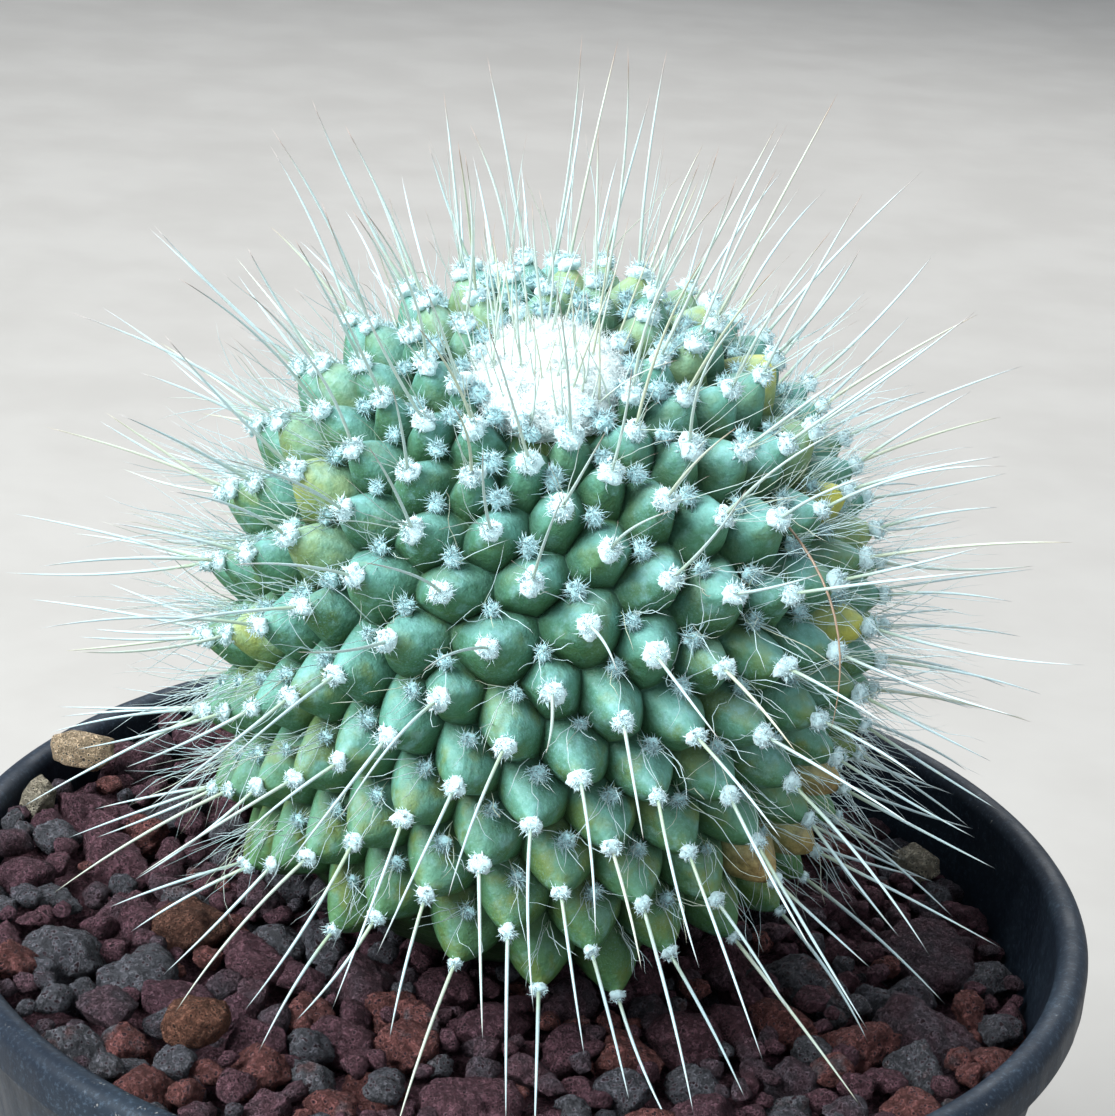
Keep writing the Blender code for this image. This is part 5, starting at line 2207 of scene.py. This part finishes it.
@dataclass
class Pebbles:
    """The loose tan and orange pebbles, each finer than its solid but of its form."""

    nodes: tuple[tuple[str, Slot, float], ...] = (
        ("pebble_tan_long", Slot.TAN, 1.0), ("pebble_tan_oval", Slot.TAN, 0.55),
        ("pebble_tan_right", Slot.TAN, 0.5), ("pebble_orange_left", Slot.ORANGE, 0.3),
        ("pebble_orange_front", Slot.ORANGE, 0.8),
    )
    # the tan stone's painted shade in its lumps and pits keeps more of its colour
    tan: StoneFinish = StoneFinish(
        "tan_pumice", TAN_TINTS, dust=(0.66, 0.58, 0.46), shade_share=0.62, pit_size=0.0005
    )
    orange: StoneFinish = StoneFinish("orange_lava", ORANGE_TINTS, dust=(0.45, 0.30, 0.20), pit_size=0.0005)
    cuts: int = 3
    smooth: float = 0.35
    grain: float = 0.00009
    grain_swing: float = 3.0
    grain_waves: int = 24
    grain_pace: float = 2400.0
    seed: int = 71

    def build(self, solids: dict[str, bpy.types.Object]) -> None:
        """Makes the pebbles.

        Args:
            solids: The CAD nodes by name.
        """
        rng = np.random.default_rng(self.seed)
        finishes = {Slot.TAN: self.tan.material(), Slot.ORANGE: self.orange.material()}
        for name, slot, tint in self.nodes:
            places, normals, faces = self.refined(solids[name].data)
            grains = ripples(rng, places, self.grain_waves, self.grain_pace) * self.grain_swing * self.grain
            draft = MeshDraft(name.replace("pebble", "stone"))
            draft.add(places + normals * grains[:, None], [faces], tint=tint)
            draft.to_piece(finishes[slot], slot, name)

    def refined(self, mesh: Mesh) -> tuple[Rows, Rows, Rows]:
        """Cuts a pebble's faces finer and rounds them.

        Args:
            mesh: The CAD node's mesh.

        Returns:
            The points, their normals and the triangles.
        """
        points, triangles = welded(mesh)
        fine = bmesh.new()
        verts = [fine.verts.new(point) for point in points]
        for triangle in triangles:
            fine.faces.new([verts[k] for k in triangle])
        for _ in range(self.cuts):
            bmesh.ops.subdivide_edges(
                fine, edges=fine.edges, cuts=1, use_grid_fill=True, smooth=self.smooth
            )
        bmesh.ops.triangulate(fine, faces=fine.faces)
        fine.normal_update()
        places = np.array([vert.co for vert in fine.verts])
        normals = np.array([vert.normal for vert in fine.verts])
        faces = np.array([[vert.index for vert in face.verts] for face in fine.faces])
        fine.free()
        return places, normals, faces


# Studio

@dataclass(frozen=True)
class Lamp:
    """One square soft light: where it hangs, its side in metres, its power and its colour."""

    name: str
    place: Place
    size: float
    watts: float
    colour: Colour


@dataclass
class Studio:
    """The floor, the soft lights and the camera at the photograph's place."""

    lamps: tuple[Lamp, ...] = (
        Lamp("key", (-0.68, -0.42, 0.90), 0.7, 36.0, (0.92, 0.98, 1.0)),
        Lamp("fill", (0.75, -0.65, 0.55), 0.9, 3.0, (0.94, 0.98, 1.0)),
        Lamp("back", (0.15, 0.85, 0.80), 0.7, 8.0, (0.96, 0.99, 1.0)),
    )
    aim: Place = (0.0, 0.0, 0.1)
    sky: Colour = (0.82, 0.90, 1.0)
    sky_strength: float = 0.55
    floor_radius: float = 3.0
    floor_sides: int = 96
    pitch: float = math.radians(20.66)
    roll: float = math.radians(3.85)
    distance: float = 0.2427
    rim_height: float = 0.085
    focal_pixels: float = 2500.0
    image_width: float = 1115.0
    image_height: float = 1116.0
    rim_middle_px: Span = (516.5, 863.8)
    sensor: float = 36.0
    nearest: float = 0.01

    def build(self) -> None:
        """Makes the floor, the lights, the world and the camera."""
        self.lay_floor()
        for lamp in self.lamps:
            self.hang(lamp)
        world = bpy.data.worlds.new("studio")
        world.use_nodes = True
        background = world.node_tree.nodes["Background"]
        background.inputs["Color"].default_value = (*self.sky, 1.0)
        background.inputs["Strength"].default_value = self.sky_strength
        bpy.context.scene.world = world
        bpy.context.scene.view_settings.view_transform = "Standard"
        self.place_camera()

    def lay_floor(self) -> None:
        """Lays the plain pale floor."""
        disc = bmesh.new()
        bmesh.ops.create_circle(disc, cap_ends=True, segments=self.floor_sides, radius=self.floor_radius)
        mesh = bpy.data.meshes.new("floor")
        disc.to_mesh(mesh)
        disc.free()
        mesh.materials.append(FloorFinish().material())
        floor = bpy.data.objects.new("floor", mesh)
        bpy.context.scene.collection.objects.link(floor)

    def hang(self, lamp: Lamp) -> None:
        """Hangs one light so that it looks at the plant.

        Args:
            lamp: The light.
        """
        data = bpy.data.lights.new(lamp.name, "AREA")
        data.size = lamp.size
        data.energy = lamp.watts
        data.color = lamp.colour
        light = bpy.data.objects.new(lamp.name, data)
        light.location = lamp.place
        aim = Vector(self.aim) - Vector(lamp.place)
        light.rotation_euler = aim.to_track_quat("-Z", "Y").to_euler()
        bpy.context.scene.collection.objects.link(light)

    def place_camera(self) -> None:
        """Places the camera so that the pot's rim and the stem lie as in the photograph."""
        forward = Vector((0.0, math.cos(self.pitch), -math.sin(self.pitch)))
        level_up = Vector((0.0, math.sin(self.pitch), math.cos(self.pitch)))
        right = Vector((math.cos(self.roll), 0.0, 0.0)) + level_up * math.sin(self.roll)
        up = level_up * math.cos(self.roll) - Vector((math.sin(self.roll), 0.0, 0.0))
        aside = (self.rim_middle_px[0] - self.image_width / 2) / self.focal_pixels
        below = (self.rim_middle_px[1] - self.image_height / 2) / self.focal_pixels
        eye = Vector((0.0, 0.0, self.rim_height)) - (forward + right * aside - up * below) * self.distance
        lens = bpy.data.cameras.new("camera")
        lens.sensor_fit = "VERTICAL"
        lens.sensor_height = self.sensor
        lens.lens = self.sensor * self.focal_pixels / self.image_height
        lens.clip_start = self.nearest
        camera = bpy.data.objects.new("camera", lens)
        camera.matrix_world = Matrix.Translation(eye) @ Matrix((right, up, -forward)).transposed().to_4x4()
        bpy.context.scene.collection.objects.link(camera)
        bpy.context.scene.camera = camera


def main() -> None:
    """Builds the studio and every piece of the potted cactus."""
    logging.basicConfig(level=logging.INFO, format="%(message)s")
    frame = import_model()
    solids = frame["nodes"]
    Studio().build()
    form = StemForm()
    skin = Skin(form)
    tubercles, ground = skin.tubercles()
    LOG.info("tubercles: %d", len(tubercles))
    skin.build(tubercles, ground)
    Wool(form).build(tubercles)
    Spines(form).build(solids["cactus"].data, tubercles)
    CrownWool(form).build()
    pot = NurseryPot()
    pot.build()
    GravelBed(pot, form).build()
    Pebbles().build(solids)


if __name__ == "__main__":
    main()
